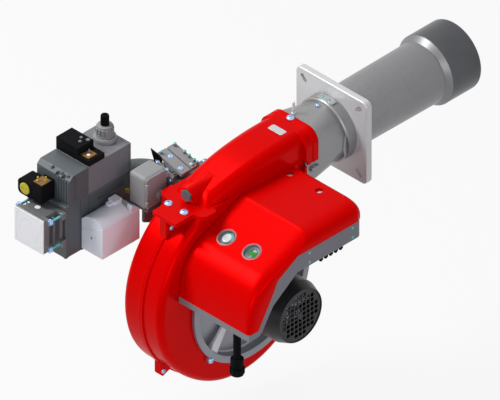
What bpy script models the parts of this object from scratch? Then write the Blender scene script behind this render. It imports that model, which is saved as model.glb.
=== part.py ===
"""Industrial gas burner with a side gas train, built piece by piece.

Metres, +Z up. The origin is the centre of the mounting flange's boiler-side
face, on the axis of the blast tube. +Y points into the boiler, +X to the
motor side. The fan turns about an axis parallel to X.
"""
import math

import bmesh
import bpy
from mathutils import Matrix, Vector

# Fits that every piece shares
SEAT = 0.0003
CUT = 0.030
FINE = 0.00002
ROUND = 28

# Mounting flange
FLANGE_SIDE = 0.300
FLANGE_THICK = 0.024
FLANGE_CORNER = 0.020
FLANGE_EDGE = 0.004
SLOT_OFFSET = 0.116
SLOT_WIDTH = 0.014
SLOT_LENGTH = 0.034

# Blast tube and its end sleeve
TUBE_RADIUS = 0.099
TUBE_WALL = 0.004
TUBE_ROOT = 0.020
TUBE_REACH = 0.364
FLARE_LENGTH = 0.017
SLEEVE_RADIUS = 0.1165
SLEEVE_WALL = 0.0042
SLEEVE_LENGTH = 0.123
SLEEVE_EDGE = 0.008
SLEEVE_LIP = 0.006
SPIGOT_LENGTH = 0.030

# Cast head body between the fan casing and the flange
COLLAR_RADIUS = 0.108
COLLAR_LENGTH = 0.038
BODY_LENGTH = 0.160
BODY_STRAIGHT = 0.050
BODY_HALF = 0.088
BODY_TOP = 0.096
BODY_BOTTOM = 0.090
BODY_CORNER = 0.030
BODY_NOSE = 0.097
BODY_WALL = 0.007
JOINT_BLOCK = (0.066, 0.020, 0.016)

# Fan casing
FAN_BACK = 0.454
FAN_DROP = 0.338
SCROLL_RADIUS = 0.400
SCROLL_HALF = 0.081
SCROLL_EDGE = 0.022
SCROLL_WALL = 0.005
SCROLL_START = 58.0
SCROLL_SWEEP = 296.0
SCROLL_RADIUS_SHARES = (0.655, 0.660, 0.675, 0.705, 0.7425, 0.7825, 0.8275, 0.9275, 1.000, 1.020)
SEAM_HALF = 0.008
SEAM_LIP = 0.005
THROAT_TOP = 0.012
THROAT_BOTTOM = 0.088
RIM_REACH = 0.011
RIM_THICK = 0.008
OUTLET_REACH = 0.014
OUTLET_THICK = 0.010
OUTLET_DROP = 0.004
INLET_HOLE = 0.230
FOOT_HALF = 0.014
FOOT_LENGTH = 0.044
FOOT_AHEAD = 0.312
FOOT_DROP = 0.550
FOOT_HEIGHT = 0.090
FOOT_BOLT_HOLE = 0.009

# Head cover
COVER_THICK = 0.0155
COVER_WALL = 0.005
TONGUE_LEFT = 0.043
TONGUE_RIGHT = 0.060
TONGUE_LENGTH = 0.075
LOBE_HALF = 0.098
COVER_AHEAD = 0.218
LOBE_LENGTH = 0.066
LOBE_CORNER = 0.026
SIDE_STRIP = 0.092
HUMP_HALF = 0.0802
HUMP_SETBACK = 0.0475
HUMP_HEIGHT = 0.094
HUMP_CORNER = 0.036
HUMP_LENGTH_SHARES = (0.0, 0.030, 0.075, 0.140, 0.235, 0.385, 0.535, 0.73, 1.0)
HUMP_HEIGHT_SHARES = (0.16, 0.32, 0.47, 0.57, 0.68, 0.82, 0.91, 0.98, 1.0)
HUMP_HALF_SHARES = (0.84, 0.855, 0.875, 0.90, 0.93, 0.97, 0.99, 1.0, 1.0)
RIDGE_HALF = 0.097
RIDGE_HEIGHT = 0.106
RIDGE_LENGTH = 0.055
RIDGE_CORNER = 0.045
RIDGE_WALL = 0.0055
RIDGE_GROOVE = 0.0025
RIDGE_SHARES = (0.0, 0.08, 0.42, 0.47, 0.55, 0.60, 1.0)
RIDGE_DROP_SHARES = (1.0, 0.0, 0.0, 1.0, 1.0, 0.0, 0.0)
BOSS_RADIUS = 0.024
BOSS_HEIGHT = 0.0525
BOSS_SETBACK = 0.032
BOSS_LENGTH = 0.150
SIGHT_BORE = 0.012
PLUG_ACROSS = 0.036
PLUG_HEAD = 0.008
PLUG_SHANK = 0.020
RIB_LEFT = 0.012
RIB_RIGHT = 0.016
RIB_DEPTH = 0.064

# Air inlet ring and motor spider
RING_SIDES = 36
DISH_CLEAR = 0.002
DISH_RADIUS = INLET_HOLE - DISH_CLEAR
RING_RIM = 0.019
RING_RADIUS = DISH_RADIUS + RING_RIM
RING_FACE = 0.012
DISH_WALL = 0.004
DISH_DEPTH = 0.036
EYE_RADIUS = 0.150
LUG_COUNT = 4
LUG_FIRST = 45.0
LUG_STEP = 0.005
LUG_RADIUS = RING_RADIUS + LUG_STEP
LUG_HALF = 0.012
LUG_REACH = 0.010
SPIDER_THICK = 0.010
SPIDER_RIM = 0.100
SPIDER_BORE = 0.050
ARM_OUTER_HALF = 0.018
ARM_INNER_HALF = 0.009
ARM_RISE = 0.016

# Motor, fan wheel and shaft
MOTOR_RADIUS = 0.080
MOTOR_LENGTH = 0.1364
FIN_COUNT = 28
FIN_HEIGHT = 0.008
FIN_SHARE = 0.34
END_SHIELD = 0.012
HOOD_RADIUS = 0.104
HOOD_WALL = 0.0025
HOOD_LENGTH = 0.089
HOOD_STRAIGHT = 0.062
HOOD_NOSE = 0.091
HOOD_OVERLAP = 0.008
GRILLE_RADIUS = 0.0875
GRILLE_THICK = 0.003
GRILLE_HUB = 0.014
GRILLE_PITCH = 0.0170
GRILLE_HOLE = 0.0130
TERMINAL_SIZE = (0.076, 0.090, 0.046)
TERMINAL_INSET = 0.040
TERMINAL_EDGE = 0.004
SHAFT_RADIUS = 0.014
SHAFT_CLEAR = 0.0006
COOLER_HUB = 0.022
COOLER_DISC = 0.060
COOLER_TIP = 0.086
COOLER_BLADES = 7
COOLER_LENGTH = 0.034
COOLER_BLADE_THICK = 0.003
WHEEL_RADIUS = 0.208
WHEEL_LEFT = 0.062
WHEEL_WIDTH = 0.108
WHEEL_PLATE = 0.003
WHEEL_HUB = 0.030
WHEEL_HUB_LENGTH = 0.040
WHEEL_EYE = 0.152
BLADE_COUNT = 20
BLADE_INNER = 0.165
BLADE_THICK = 0.0025
BLADE_SWEEP = 14.0
BLADE_BOW = 0.006

# Electrical panel
PANEL_AHEAD = 0.305
PANEL_LENGTH = 0.488
PANEL_WIDTH = 0.3000
PANEL_HEIGHT = 0.2455
PANEL_TOP = 0.025
PANEL_WALL = 0.003
PANEL_LEFT_EDGE = 0.006
PANEL_CORNER = 0.076
PANEL_BACK_CORNER = 0.030
PANEL_ROUND_POWER = 3.0
PANEL_OUTER_SHARES = (
    (0.000, 0.000), (0.018, 0.255), (0.038, 0.397), (0.075, 0.526), (0.127, 0.631), (0.190, 0.709),
    (0.518, 0.965), (0.545, 0.984), (0.574, 0.989), (0.950, 1.000), (0.990, 0.984), (1.000, 0.935))
PANEL_PARTING_SHARES = (
    (0.080, 0.000), (0.111, 0.104), (0.146, 0.218), (0.178, 0.328), (0.215, 0.450), (0.258, 0.593),
    (0.400, 0.753), (0.424, 0.780), (0.471, 0.780), (0.950, 0.780), (0.990, 0.780), (1.000, 0.780))
PANEL_CORNER_SHARES = (0.27, 0.34, 0.42, 0.52, 0.62, 0.74, 1.0, 1.0, 1.0, 1.0, 1.0, 1.0)
PANEL_INSET_SHARES = (0, 0, 0, 0, 0, 0, 0, 0, 0, 0.0, 0.30, 0.70)

BASE_UNDER_SHARES = ((0.000, -0.092), (0.085, -0.092), (0.116, -0.045), (0.211, 0.246), (0.420, 0.540),
                     (1.000, 0.540))
PANEL_HOLE = 0.009
PANEL_HOLE_PLACES = ((0.032, 0.062), (0.156, 0.062))
LAMP_RING = 0.0315
LAMP_BORE = 0.0285
LAMP_WALL = 0.0035
LAMP_RECESS = 0.009
LAMP_FACE = 0.0160
LAMP_DEPTH = 0.024
LAMP_RIM = 0.002
LAMP_LEFT = 0.0745
LAMP_PITCH = 0.107
LAMP_SHARE = 0.235
BUTTON_TRAVEL = 0.004
CONTROL_SIZE = (0.110, 0.120, 0.045)
TRANSFORMER_SIZE = (0.075, 0.110, 0.040)
PANEL_STANDOFF = 0.004
CONDUIT_RADIUS = 0.012
CONDUIT_LEFT = 0.2137
CONDUIT_INSET = 0.035
CONDUIT_LENGTH = 0.129
GLAND_RADIUS = 0.021
GLAND_NUT_RADIUS = 0.0245
GLAND_LENGTH = 0.062
CONNECTOR_COUNT = 5
CONNECTOR_PITCH = 0.021
CONNECTOR_RADIUS = 0.009
CONNECTOR_DROP = 0.014
CONNECTOR_BAR = 0.006
CONNECTOR_INSET = 0.0263
CONNECTOR_START = 0.319

# Gas entry on the left of the casing
ENTRY_AHEAD = 0.065
GAS_DROP = 0.058
GAS_BORE = 0.036

MANIFOLD_WIDTH = 0.074
MANIFOLD_AHEAD = 0.066
MANIFOLD_LENGTH = 0.180
MANIFOLD_BELOW = 0.064
MANIFOLD_EDGE = 0.010
BUTTERFLY_LENGTH = 0.050
BUTTERFLY_RADIUS = 0.050
ELBOW_RADIUS = 0.045
ELBOW_BEND = 0.095
ELBOW_STRAIGHT = 0.0177
ELBOW_REACH = 0.015
ELBOW_FLANGE = 0.055
ELBOW_FLANGE_THICK = 0.012
ELBOW_STEPS = 6
DISC_THICK = 0.004
DISC_CLEAR = 0.0012
DISC_SHAFT = 0.005
DISC_LEVER = 0.024
DISC_LEVER_THICK = 0.006
WALL_PORT = 0.048

# Air and gas cams with their servo
ACTUATOR_SIZE = (0.075, 0.094, 0.116)
ACTUATOR_INSET = 0.028

ACTUATOR_TOP = 0.068
ACTUATOR_EDGE = 0.014
NIPPLE_ACROSS = 0.026
NIPPLE_LENGTH = 0.016
NIPPLE_DROP = 0.009
NIPPLE_AHEAD = 0.037
BRACKET_THICK = 0.009
SHELF_THICK = 0.008
GUSSET_THICK = 0.010
CAM_OUT = 0.008
CAM_AXIS_Z = 0.020
CAM_HEIGHT = 0.032
CAM_HALF = 0.054
CAM_HUB = 0.013
CAM_RIM = 0.013
CAM_TILT = 14.3
GAS_CAM_INSET = 0.026
GAS_CAM_WIDTH = 0.038
CAM_SPACING = 0.043
AIR_CAM_WIDTH = 0.034
CAM_SHAFT_RADIUS = 0.007
CAM_COLLAR = 0.004
DRIVE_DEPTH = 0.022

# Valve block and what is fitted to it
VALVE_HALF = 0.070
VALVE_LENGTH = 0.280

VALVE_BELOW = 0.114
VALVE_ABOVE = 0.074
COIL_HEIGHT = 0.101
VALVE_EDGE = 0.003
COIL_LENGTH = 0.181
VALVE_FOOT_RADIUS = 0.007
VALVE_FOOT_HEIGHT = 0.005
VALVE_SLOT = (0.109, 0.004, 0.021)
VALVE_SLOT_AHEAD = 0.141
VALVE_SLOT_DROP = 0.017
COVER_INSET = 0.017
COVER_SLOPE_RUN = 0.016
COVER_SLOPE_DROP = 0.014
RIB_COUNT = 5
RIB_PITCH = 0.011
RIB_WIDTH = 0.005
RIB_HEIGHT = 0.004
PORT_SIDE = 0.122
PORT_LENGTH = 0.084
PORT_PLATE = 0.003
PORT_GROOVE_REACH = 0.016
PORT_GROOVE_INSET = 0.021
PORT_GROOVE_LENGTH = 0.046
PORT_RING = 0.038
PORT_RING_WIDTH = 0.0015
PORT_RING_DEPTH = 0.001
BLOCK_DEPTH = 0.068
BLOCK_HEIGHT = 0.0445
BLOCK_STEP_WIDTH = 0.046
BLOCK_STEP_HEIGHT = 0.020
ADJUSTER_AHEAD = 0.042
ADJUSTER_BASE = (0.036, 0.016)
ADJUSTER_KNOB = (0.0282, 0.0376)
ADJUSTER_CAP = (0.0135, 0.0347)
KNURL_COUNT = 14
KNURL_DEPTH = 0.0025

SWITCH_DEPTH = 0.058
SWITCH_INSET = 0.008
SWITCH_WIDTH = 0.041
CHAMBER_WIDTH = 0.060
SWITCH_HEIGHT = 0.067
SWITCH_ROUND_DROP = 0.012
SWITCH_ROUND_EDGE = 0.016
DIAL_RADIUS = 0.0195
DIAL_OUT = 0.028
DIAL_RISE = 0.0286
DIAL_HEIGHT = 0.004
DIAL_SHAFT = 0.005
DIAL_SLOT = (0.004, 0.0015, 0.024)
PROVER_WIDTH = 0.0897
PROVER_AHEAD = 0.214
PROVER_LENGTH = 0.160
PROVER_BELOW = 0.106
PROVER_ABOVE = 0.008
PROVER_BULGE = 0.018
PROVER_REAR = 0.024
PROVER_NUB = (0.030, 0.026, 0.012)
PROVER_NUB_LEFT = 0.016
PROVER_NUB_AHEAD = 0.050
TEST_RADIUS = 0.006
TEST_LENGTH = 0.014
TEST_AHEAD = 0.021
TEST_ABOVE = 0.014

# Inside: gas chamber, lance, diffuser, electrodes and air damper
CHAMBER_RADIUS = 0.052
CHAMBER_AHEAD = 0.056
CHAMBER_LENGTH = 0.110
CHAMBER_DROP = 0.020
SPOUT_RADIUS = 0.040
LANCE_RADIUS = 0.028
LANCE_WALL = 0.003
LANCE_INSET = 0.105
NOZZLE_SETBACK = 0.064
GUIDE_WALL = 0.005
GUIDE_LENGTH = 0.060

DIFFUSER_RADIUS = 0.092
DIFFUSER_THICK = 0.003
DIFFUSER_SKIRT = 0.018
DIFFUSER_SLOTS = 10
DIFFUSER_SLOT = (0.036, 0.009)
DIFFUSER_HOLE = 0.004
NOZZLE_RADIUS = 0.022
NOZZLE_LENGTH = 0.024
NOZZLE_PORTS = 8
NOZZLE_PORT = 0.0035
CLAMP_WALL = 0.006
CLAMP_LENGTH = 0.016
CLAMP_SETBACK = 0.110
ROD_OFFSET = 0.052
ROD_RADIUS = 0.006
ROD_LENGTH = 0.120
PROBE_RADIUS = 0.0016
PROBE_LENGTH = 0.045
DAMPER_AHEAD = 0.090
DAMPER_DROP = 0.066
DAMPER_HALF = 0.072
DAMPER_CHORD = 0.064
DAMPER_THICK = 0.003
DAMPER_SHAFT = 0.005
DAMPER_REST = 27.5
DAMPER_LEVER = 0.030

# Places that follow from the sizes above: head, casing and cover
TUBE_START = -FLANGE_THICK - TUBE_ROOT
FLARE_END = TUBE_REACH + FLARE_LENGTH
COLLAR_START = -FLANGE_THICK - COLLAR_LENGTH
BODY_REAR = COLLAR_START - BODY_LENGTH
FAN = Vector((0, -FAN_BACK, -FAN_DROP))
FOOT_BACK = FAN_BACK + FOOT_AHEAD
LOBE_FRONT = FAN_BACK + COVER_AHEAD
TONGUE_FRONT = LOBE_FRONT + TONGUE_LENGTH
BOSS_FRONT = LOBE_FRONT - BOSS_SETBACK
HUMP_FRONT = -LOBE_FRONT + HUMP_SETBACK
HUMP_LENGTH = BODY_REAR - RIDGE_GROOVE - HUMP_FRONT
RIDGE_FRONT = BODY_REAR - SCROLL_WALL - RIDGE_GROOVE
COVER_BASE = THROAT_TOP + SEAT

# Motor and panel
DISH_FLOOR = SCROLL_HALF + RING_FACE - DISH_DEPTH
SPIDER_FACE = DISH_FLOOR + DISH_WALL + SEAT
MOTOR_START = SPIDER_FACE + SPIDER_THICK + SEAT
MOTOR_END = MOTOR_START + MOTOR_LENGTH
HOOD_FACE = MOTOR_END + HOOD_LENGTH
PANEL_FRONT = FAN_BACK + PANEL_AHEAD
PANEL_LEFT = SCROLL_HALF + SEAT
PANEL_RIGHT = PANEL_LEFT + PANEL_WIDTH
CONDUIT_X = PANEL_LEFT + CONDUIT_LEFT
CONDUIT_BACK = PANEL_FRONT - CONDUIT_INSET
CONDUIT_END = PANEL_HEIGHT * (1 - BASE_UNDER_SHARES[0][1]) - PANEL_TOP + CONDUIT_LENGTH
CONNECTOR_X = PANEL_RIGHT - CONNECTOR_INSET
CONNECTOR_BACK = PANEL_FRONT - CONNECTOR_START

# Gas entry, cams and servo
ENTRY_BACK = FAN_BACK + ENTRY_AHEAD
MANIFOLD_FACE = SCROLL_HALF + MANIFOLD_WIDTH
MANIFOLD_FRONT = ENTRY_BACK + MANIFOLD_AHEAD
MANIFOLD_BOTTOM = GAS_DROP + MANIFOLD_BELOW
BUTTERFLY_FACE = MANIFOLD_FACE + SEAT + BUTTERFLY_LENGTH
ACTUATOR_RIGHT = MANIFOLD_FACE - ACTUATOR_INSET
ACTUATOR_BACK = MANIFOLD_FRONT + BRACKET_THICK + 2 * SEAT
NIPPLE_BACK = ACTUATOR_BACK + NIPPLE_AHEAD
CAM_AXIS_X = MANIFOLD_FACE + CAM_OUT
GAS_CAM_FRONT = MANIFOLD_FRONT - GAS_CAM_INSET
AIR_CAM_FRONT = GAS_CAM_FRONT - CAM_SPACING

# Valve block
GAS_LEFT = BUTTERFLY_FACE + ELBOW_STRAIGHT + ELBOW_BEND
VALVE_BACK = ENTRY_BACK + ELBOW_BEND + ELBOW_REACH
ELBOW_START = VALVE_BACK - SEAT
VALVE_FRONT = VALVE_BACK + VALVE_LENGTH
VALVE_SPLIT = VALVE_BACK + COIL_LENGTH
VALVE_SEAM = VALVE_ABOVE - GAS_DROP
VALVE_TOP = VALVE_SEAM + COIL_HEIGHT
VALVE_BOTTOM = GAS_DROP + VALVE_BELOW
VALVE_RIGHT = GAS_LEFT - VALVE_HALF
VALVE_SLOT_BACK = VALVE_BACK + VALVE_SLOT_AHEAD
VALVE_SLOT_TOP = VALVE_SLOT_DROP - VALVE_SEAM
COVER_FRONT = VALVE_FRONT - COVER_INSET
PORT_BACK = VALVE_FRONT + PORT_LENGTH
PORT_LEFT = GAS_LEFT + PORT_SIDE / 2
PORT_RIGHT = GAS_LEFT - PORT_SIDE / 2
PORT_GROOVE_FRONT = PORT_BACK - PORT_GROOVE_INSET
ADJUSTER_BACK = VALVE_BACK + ADJUSTER_AHEAD
SWITCH_FRONT = COVER_FRONT + SWITCH_DEPTH + SEAT
SWITCH_RIGHT = GAS_LEFT - SWITCH_INSET
SWITCH_STEP = SWITCH_RIGHT + SWITCH_WIDTH
SWITCH_LEFT = SWITCH_STEP + CHAMBER_WIDTH
SWITCH_TOP = VALVE_SEAM + SWITCH_HEIGHT
SWITCH_ROUND_TOP = SWITCH_TOP - SWITCH_ROUND_DROP
DIAL_X = SWITCH_STEP + DIAL_OUT
DIAL_Z = VALVE_SEAM + DIAL_RISE
PROVER_BACK = VALVE_BACK + PROVER_AHEAD
PROVER_LEFT = VALVE_RIGHT - SEAT
PROVER_BOTTOM = GAS_DROP + PROVER_BELOW
PROVER_SHOULDER = GAS_DROP - PROVER_ABOVE
TEST_BACK = VALVE_BACK + TEST_AHEAD
TEST_DROP = GAS_DROP - TEST_ABOVE

# Inside
CHAMBER_BACK = ENTRY_BACK + CHAMBER_AHEAD
LANCE_BACK = CHAMBER_BACK - LANCE_INSET
LANCE_END = FLARE_END + SLEEVE_LENGTH - NOZZLE_SETBACK
CLAMP_PLACE = LANCE_END - CLAMP_SETBACK
DAMPER_BACK = DAMPER_AHEAD - BODY_REAR

for leftover in list(bpy.data.objects):
    bpy.data.objects.remove(leftover, do_unlink=True)

PARTS = bpy.data.collections.new("gas_burner")
CUTTERS = bpy.data.collections.new("gas_burner_cutters")
bpy.context.scene.collection.children.link(PARTS)
bpy.context.scene.collection.children.link(CUTTERS)

FINISHES = {
    "red_enamel": ((0.80, 0.010, 0.008), 0.38, 0.0),
    "cast_grey": ((0.30, 0.30, 0.29), 0.50, 0.55),
    "tube_steel": ((0.32, 0.32, 0.32), 0.40, 0.75),
    "sleeve_steel": ((0.12, 0.13, 0.135), 0.45, 0.70),
    "motor_grey": ((0.36, 0.36, 0.35), 0.50, 0.40),
    "spider_light": ((0.62, 0.62, 0.60), 0.50, 0.20),
    "valve_grey": ((0.115, 0.13, 0.14), 0.50, 0.30),
    "panel_grey": ((0.13, 0.13, 0.14), 0.55, 0.20),
    "black_plastic": ((0.010, 0.010, 0.011), 0.45, 0.0),
    "white_plastic": ((0.75, 0.75, 0.76), 0.45, 0.0),
    "servo_grey": ((0.33, 0.33, 0.33), 0.50, 0.0),
    "brass": ((0.60, 0.45, 0.12), 0.30, 0.90),
    "yellow_dial": ((0.48, 0.42, 0.03), 0.45, 0.0),
    "green_lens": ((0.02, 0.26, 0.03), 0.20, 0.0),
    "lamp_white": ((0.70, 0.72, 0.72), 0.25, 0.0),
    "ceramic": ((0.75, 0.73, 0.68), 0.35, 0.0),
    "shaft_steel": ((0.45, 0.45, 0.46), 0.30, 0.95),
}


def make_materials():
    """One Principled material for each finish."""
    made = {}
    for name, (colour, roughness, metallic) in FINISHES.items():
        material = bpy.data.materials.new(name)
        material.use_nodes = True
        shader = material.node_tree.nodes["Principled BSDF"]
        shader.inputs["Base Color"].default_value = (*colour, 1.0)
        shader.inputs["Roughness"].default_value = roughness
        shader.inputs["Metallic"].default_value = metallic
        made[name] = material
    return made
MATERIALS = make_materials()
TURNS = {
    "Z": Matrix.Identity(3),
    "X": Matrix(((0, 0, 1), (1, 0, 0), (0, 1, 0))),
    "Y": Matrix(((1, 0, 0), (0, 0, 1), (0, -1, 0))),
}


def link(name, mesh, place=(0, 0, 0), axis="Z"):
    """Object from a mesh whose local Z lies along a world axis."""
    made = bpy.data.objects.new(name, mesh)
    made.matrix_world = Matrix.Translation(place) @ TURNS[axis].to_4x4()
    PARTS.objects.link(made)
    return made


def to_mesh(name, builder):
    """Mesh datablock from a bmesh, faces turned outwards."""
    bmesh.ops.recalc_face_normals(builder, faces=builder.faces)
    mesh = bpy.data.meshes.new(name)
    builder.to_mesh(mesh)
    builder.free()
    return mesh


def box(name, low, high):
    """Box between two corners."""
    low = Vector(low)
    high = Vector(high)
    builder = bmesh.new()
    bmesh.ops.create_cube(builder, size=1)
    bmesh.ops.scale(builder, vec=high - low, verts=builder.verts)
    return link(name, to_mesh(name, builder), (low + high) / 2)


def rod(name, start, axis, radius, length, tip=None, sides=ROUND):
    """Cylinder or cone from its start point along an axis."""
    builder = bmesh.new()
    tip = radius if tip is None else tip
    bmesh.ops.create_cone(builder, cap_ends=True, segments=sides, radius1=radius, radius2=tip, depth=length)
    made = link(name, to_mesh(name, builder), start, axis)
    made.location = Vector(start) + TURNS[axis] @ Vector((0, 0, length / 2))
    return made


def turned(name, place, axis, profile, sides=ROUND):
    """Closed (radius, height) profile turned about the local Z axis."""
    mesh = bpy.data.meshes.new(name)
    points = [(radius, 0, height) for radius, height in profile]
    count = len(points)
    mesh.from_pydata(points, [(i, (i + 1) % count) for i in range(count)], [])
    raw = link(name, mesh)
    screw = raw.modifiers.new("turn", "SCREW")
    screw.steps = sides
    screw.render_steps = sides
    screw.use_merge_vertices = True
    screw.merge_threshold = FINE
    return baked(raw, place, axis)


def baked(raw, place=None, axis="Z"):
    """Plain welded mesh of an evaluated object."""
    name = raw.name
    graph = bpy.context.evaluated_depsgraph_get()
    mesh = bpy.data.meshes.new_from_object(raw.evaluated_get(graph))
    matrix = raw.matrix_world.copy()
    bpy.data.objects.remove(raw, do_unlink=True)
    builder = bmesh.new()
    builder.from_mesh(mesh)
    bmesh.ops.remove_doubles(builder, verts=builder.verts, dist=FINE)
    bmesh.ops.dissolve_degenerate(builder, edges=builder.edges, dist=FINE)
    bpy.data.meshes.remove(mesh)
    made = link(name, to_mesh(name, builder))
    made.name = name
    if place is None:
        made.matrix_world = matrix
    else:
        made.matrix_world = Matrix.Translation(place) @ TURNS[axis].to_4x4()
    return made


def plate(name, outlines, thickness, place, axis="Z"):
    """Flat outline, with any holes, as a filled curve of some thickness from its place."""
    curve = bpy.data.curves.new(name, "CURVE")
    curve.dimensions = "2D"
    curve.fill_mode = "BOTH"
    curve.extrude = thickness / 2
    for outline in outlines:
        spline = curve.splines.new("POLY")
        spline.points.add(len(outline) - 1)
        for point, (x, y) in zip(spline.points, outline):
            point.co = (x, y, 0, 1)
        spline.use_cyclic_u = True
    raw = bpy.data.objects.new(name, curve)
    PARTS.objects.link(raw)
    bpy.context.view_layer.update()
    middle = Vector(place) + TURNS[axis] @ Vector((0, 0, thickness / 2))
    return baked(raw, middle, axis)


def loft(name, sections):
    """Closed solid through loops of points with equal counts."""
    builder = bmesh.new()
    rows = [[builder.verts.new(point) for point in section] for section in sections]
    count = len(rows[0])
    for first, second in zip(rows, rows[1:]):
        for i in range(count):
            j = (i + 1) % count
            builder.faces.new((first[i], first[j], second[j], second[i]))
    builder.faces.new(rows[0])
    builder.faces.new(rows[-1])
    return link(name, to_mesh(name, builder))


def skin(name, sections):
    """Open shell over rows of points, closed only behind its last row."""
    builder = bmesh.new()
    rows = [[builder.verts.new(point) for point in section] for section in sections]
    for first, second in zip(rows, rows[1:]):
        for i in range(len(first) - 1):
            builder.faces.new((first[i], first[i + 1], second[i + 1], second[i]))
    builder.faces.new(rows[-1])
    return link(name, to_mesh(name, builder))


def boolean(target, tool, operation):
    """Boolean modifier whose tool goes to the cutters."""
    step = target.modifiers.new(operation.lower(), "BOOLEAN")
    step.operation = operation
    step.solver = "EXACT"
    step.object = tool
    PARTS.objects.unlink(tool)
    CUTTERS.objects.link(tool)
    tool.hide_render = True
    tool.display_type = "WIRE"


def cut(target, *tools):
    for tool in tools:
        boolean(target, tool, "DIFFERENCE")
    return target


def join(target, *tools):
    for tool in tools:
        boolean(target, tool, "UNION")
    return target


def merged(name, shapes):
    """Several loose shapes as the one mesh of a tool."""
    builder = bmesh.new()
    for shape in shapes:
        shape.data.transform(shape.matrix_world)
        builder.from_mesh(shape.data)
        bpy.data.objects.remove(shape, do_unlink=True)
    return link(name, to_mesh(name, builder))


def soften(target, width, segments=2, angle=50):
    """Rounded edges where faces meet at more than an angle."""
    step = target.modifiers.new("round_edges", "BEVEL")
    step.width = width
    step.segments = segments
    step.limit_method = "ANGLE"
    step.angle_limit = math.radians(angle)
    return target


def finish(target, material, smooth=35):
    """Material and smooth shading of a finished piece."""
    target.data.materials.clear()
    target.data.materials.append(MATERIALS[material])
    target.data.shade_smooth()
    target.data.set_sharp_from_angle(angle=math.radians(smooth))
    return target


def carry(axis_name, place, *pieces):
    """Parent moving pieces to an empty on their joint's axis."""
    pivot = bpy.data.objects.new(axis_name, None)
    pivot.location = place
    PARTS.objects.link(pivot)
    bpy.context.view_layer.update()
    for piece in pieces:
        piece.parent = pivot
        piece.matrix_parent_inverse = pivot.matrix_world.inverted()


def arc(centre, radius, start, end, steps):
    """Points on an arc, angles in degrees."""
    points = []
    for i in range(steps + 1):
        angle = math.radians(start + (end - start) * i / steps)
        points.append((centre[0] + radius * math.cos(angle), centre[1] + radius * math.sin(angle)))
    return points


def circle(centre, radius, count):
    return arc(centre, radius, 0, 360, count)[:-1]


def rounded_box(low, high, radius, steps=4):
    """Rounded rectangle outline from its bottom right corner."""
    (x0, y0), (x1, y1) = low, high
    return (arc((x1 - radius, y0 + radius), radius, -90, 0, steps)
            + arc((x1 - radius, y1 - radius), radius, 0, 90, steps)
            + arc((x0 + radius, y1 - radius), radius, 90, 180, steps)
            + arc((x0 + radius, y0 + radius), radius, 180, 270, steps))


def slot(centre, length, width, angle, steps=6):
    """Round-ended slot outline turned by an angle in degrees."""
    half = (length - width) / 2
    turn = math.radians(angle)
    points = arc((half, 0), width / 2, -90, 90, steps) + arc((-half, 0), width / 2, 90, 270, steps)
    return [(centre[0] + x * math.cos(turn) - y * math.sin(turn),
             centre[1] + x * math.sin(turn) + y * math.cos(turn)) for x, y in points]


def smooth_value(table, position):
    """Catmull-Rom value of a table at a position from 0 to 1."""
    spot = position * (len(table) - 1)
    i = min(int(spot), len(table) - 2)
    t = spot - i
    p0 = table[max(i - 1, 0)]
    p1 = table[i]
    p2 = table[i + 1]
    p3 = table[min(i + 2, len(table) - 1)]
    return 0.5 * (2 * p1 + (p2 - p0) * t + (2 * p0 - 5 * p1 + 4 * p2 - p3) * t * t
                  + (3 * p1 - p0 - 3 * p2 + p3) * t * t * t)


def boiler_flange():
    half = FLANGE_SIDE / 2
    slab = plate("boiler_flange", [rounded_box((-half, -half), (half, half), FLANGE_CORNER, 5)],
                 FLANGE_THICK, (0, -FLANGE_THICK, 0), "Y")
    soften(slab, FLANGE_EDGE)
    for x, z in ((1, 1), (-1, 1), (-1, -1), (1, -1)):
        outline = slot((x * SLOT_OFFSET, -z * SLOT_OFFSET), SLOT_LENGTH, SLOT_WIDTH, -45 * x * z)
        cut(slab, plate("flange_slot", [outline], FLANGE_THICK + 2 * CUT, (0, -FLANGE_THICK - CUT, 0), "Y"))
    cut(slab, rod("flange_bore", (0, -FLANGE_THICK - CUT, 0), "Y", TUBE_RADIUS + SEAT,
                  FLANGE_THICK + 2 * CUT))
    return finish(slab, "cast_grey")


def blast_tube():
    inner = TUBE_RADIUS - TUBE_WALL
    spigot = SLEEVE_RADIUS - SLEEVE_WALL - SEAT
    profile = [
        (TUBE_RADIUS, TUBE_START), (inner, TUBE_START), (inner, TUBE_REACH),
        (spigot - TUBE_WALL, FLARE_END), (spigot - TUBE_WALL, FLARE_END + SPIGOT_LENGTH),
        (spigot, FLARE_END + SPIGOT_LENGTH), (spigot, FLARE_END), (SLEEVE_RADIUS, FLARE_END),
        (TUBE_RADIUS, TUBE_REACH)]
    return finish(turned("blast_tube", (0, 0, 0), "Y", profile), "tube_steel")


def tube_end_sleeve():
    start = FLARE_END + SEAT
    end = FLARE_END + SLEEVE_LENGTH
    inner = SLEEVE_RADIUS - SLEEVE_WALL
    edge = arc((SLEEVE_RADIUS - SLEEVE_EDGE, end - SLEEVE_EDGE), SLEEVE_EDGE, 0, 90, 4)
    profile = ([(inner, start), (SLEEVE_RADIUS, start)] + edge
               + [(inner - SLEEVE_LIP, end), (inner - SLEEVE_LIP, end - SLEEVE_WALL),
                  (inner, end - SLEEVE_EDGE)])
    return finish(turned("tube_end_sleeve", (0, 0, 0), "Y", profile), "sleeve_steel")


def ring_section(y, half, top, bottom, corner, steps=4):
    """Rounded rectangle across the tube axis."""
    return [(x, y, z) for x, z in rounded_box((-half, -bottom), (half, top), corner, steps)]


def round_section(y, radius, steps=4):
    """Circle with as many points as a rounded rectangle section."""
    points = []
    for quarter in (-90, 0, 90, 180):
        for i in range(steps + 1):
            angle = math.radians(quarter + 90 * (i + 0.5) / (steps + 1))
            points.append((radius * math.cos(angle), y, radius * math.sin(angle)))
    return points


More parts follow.
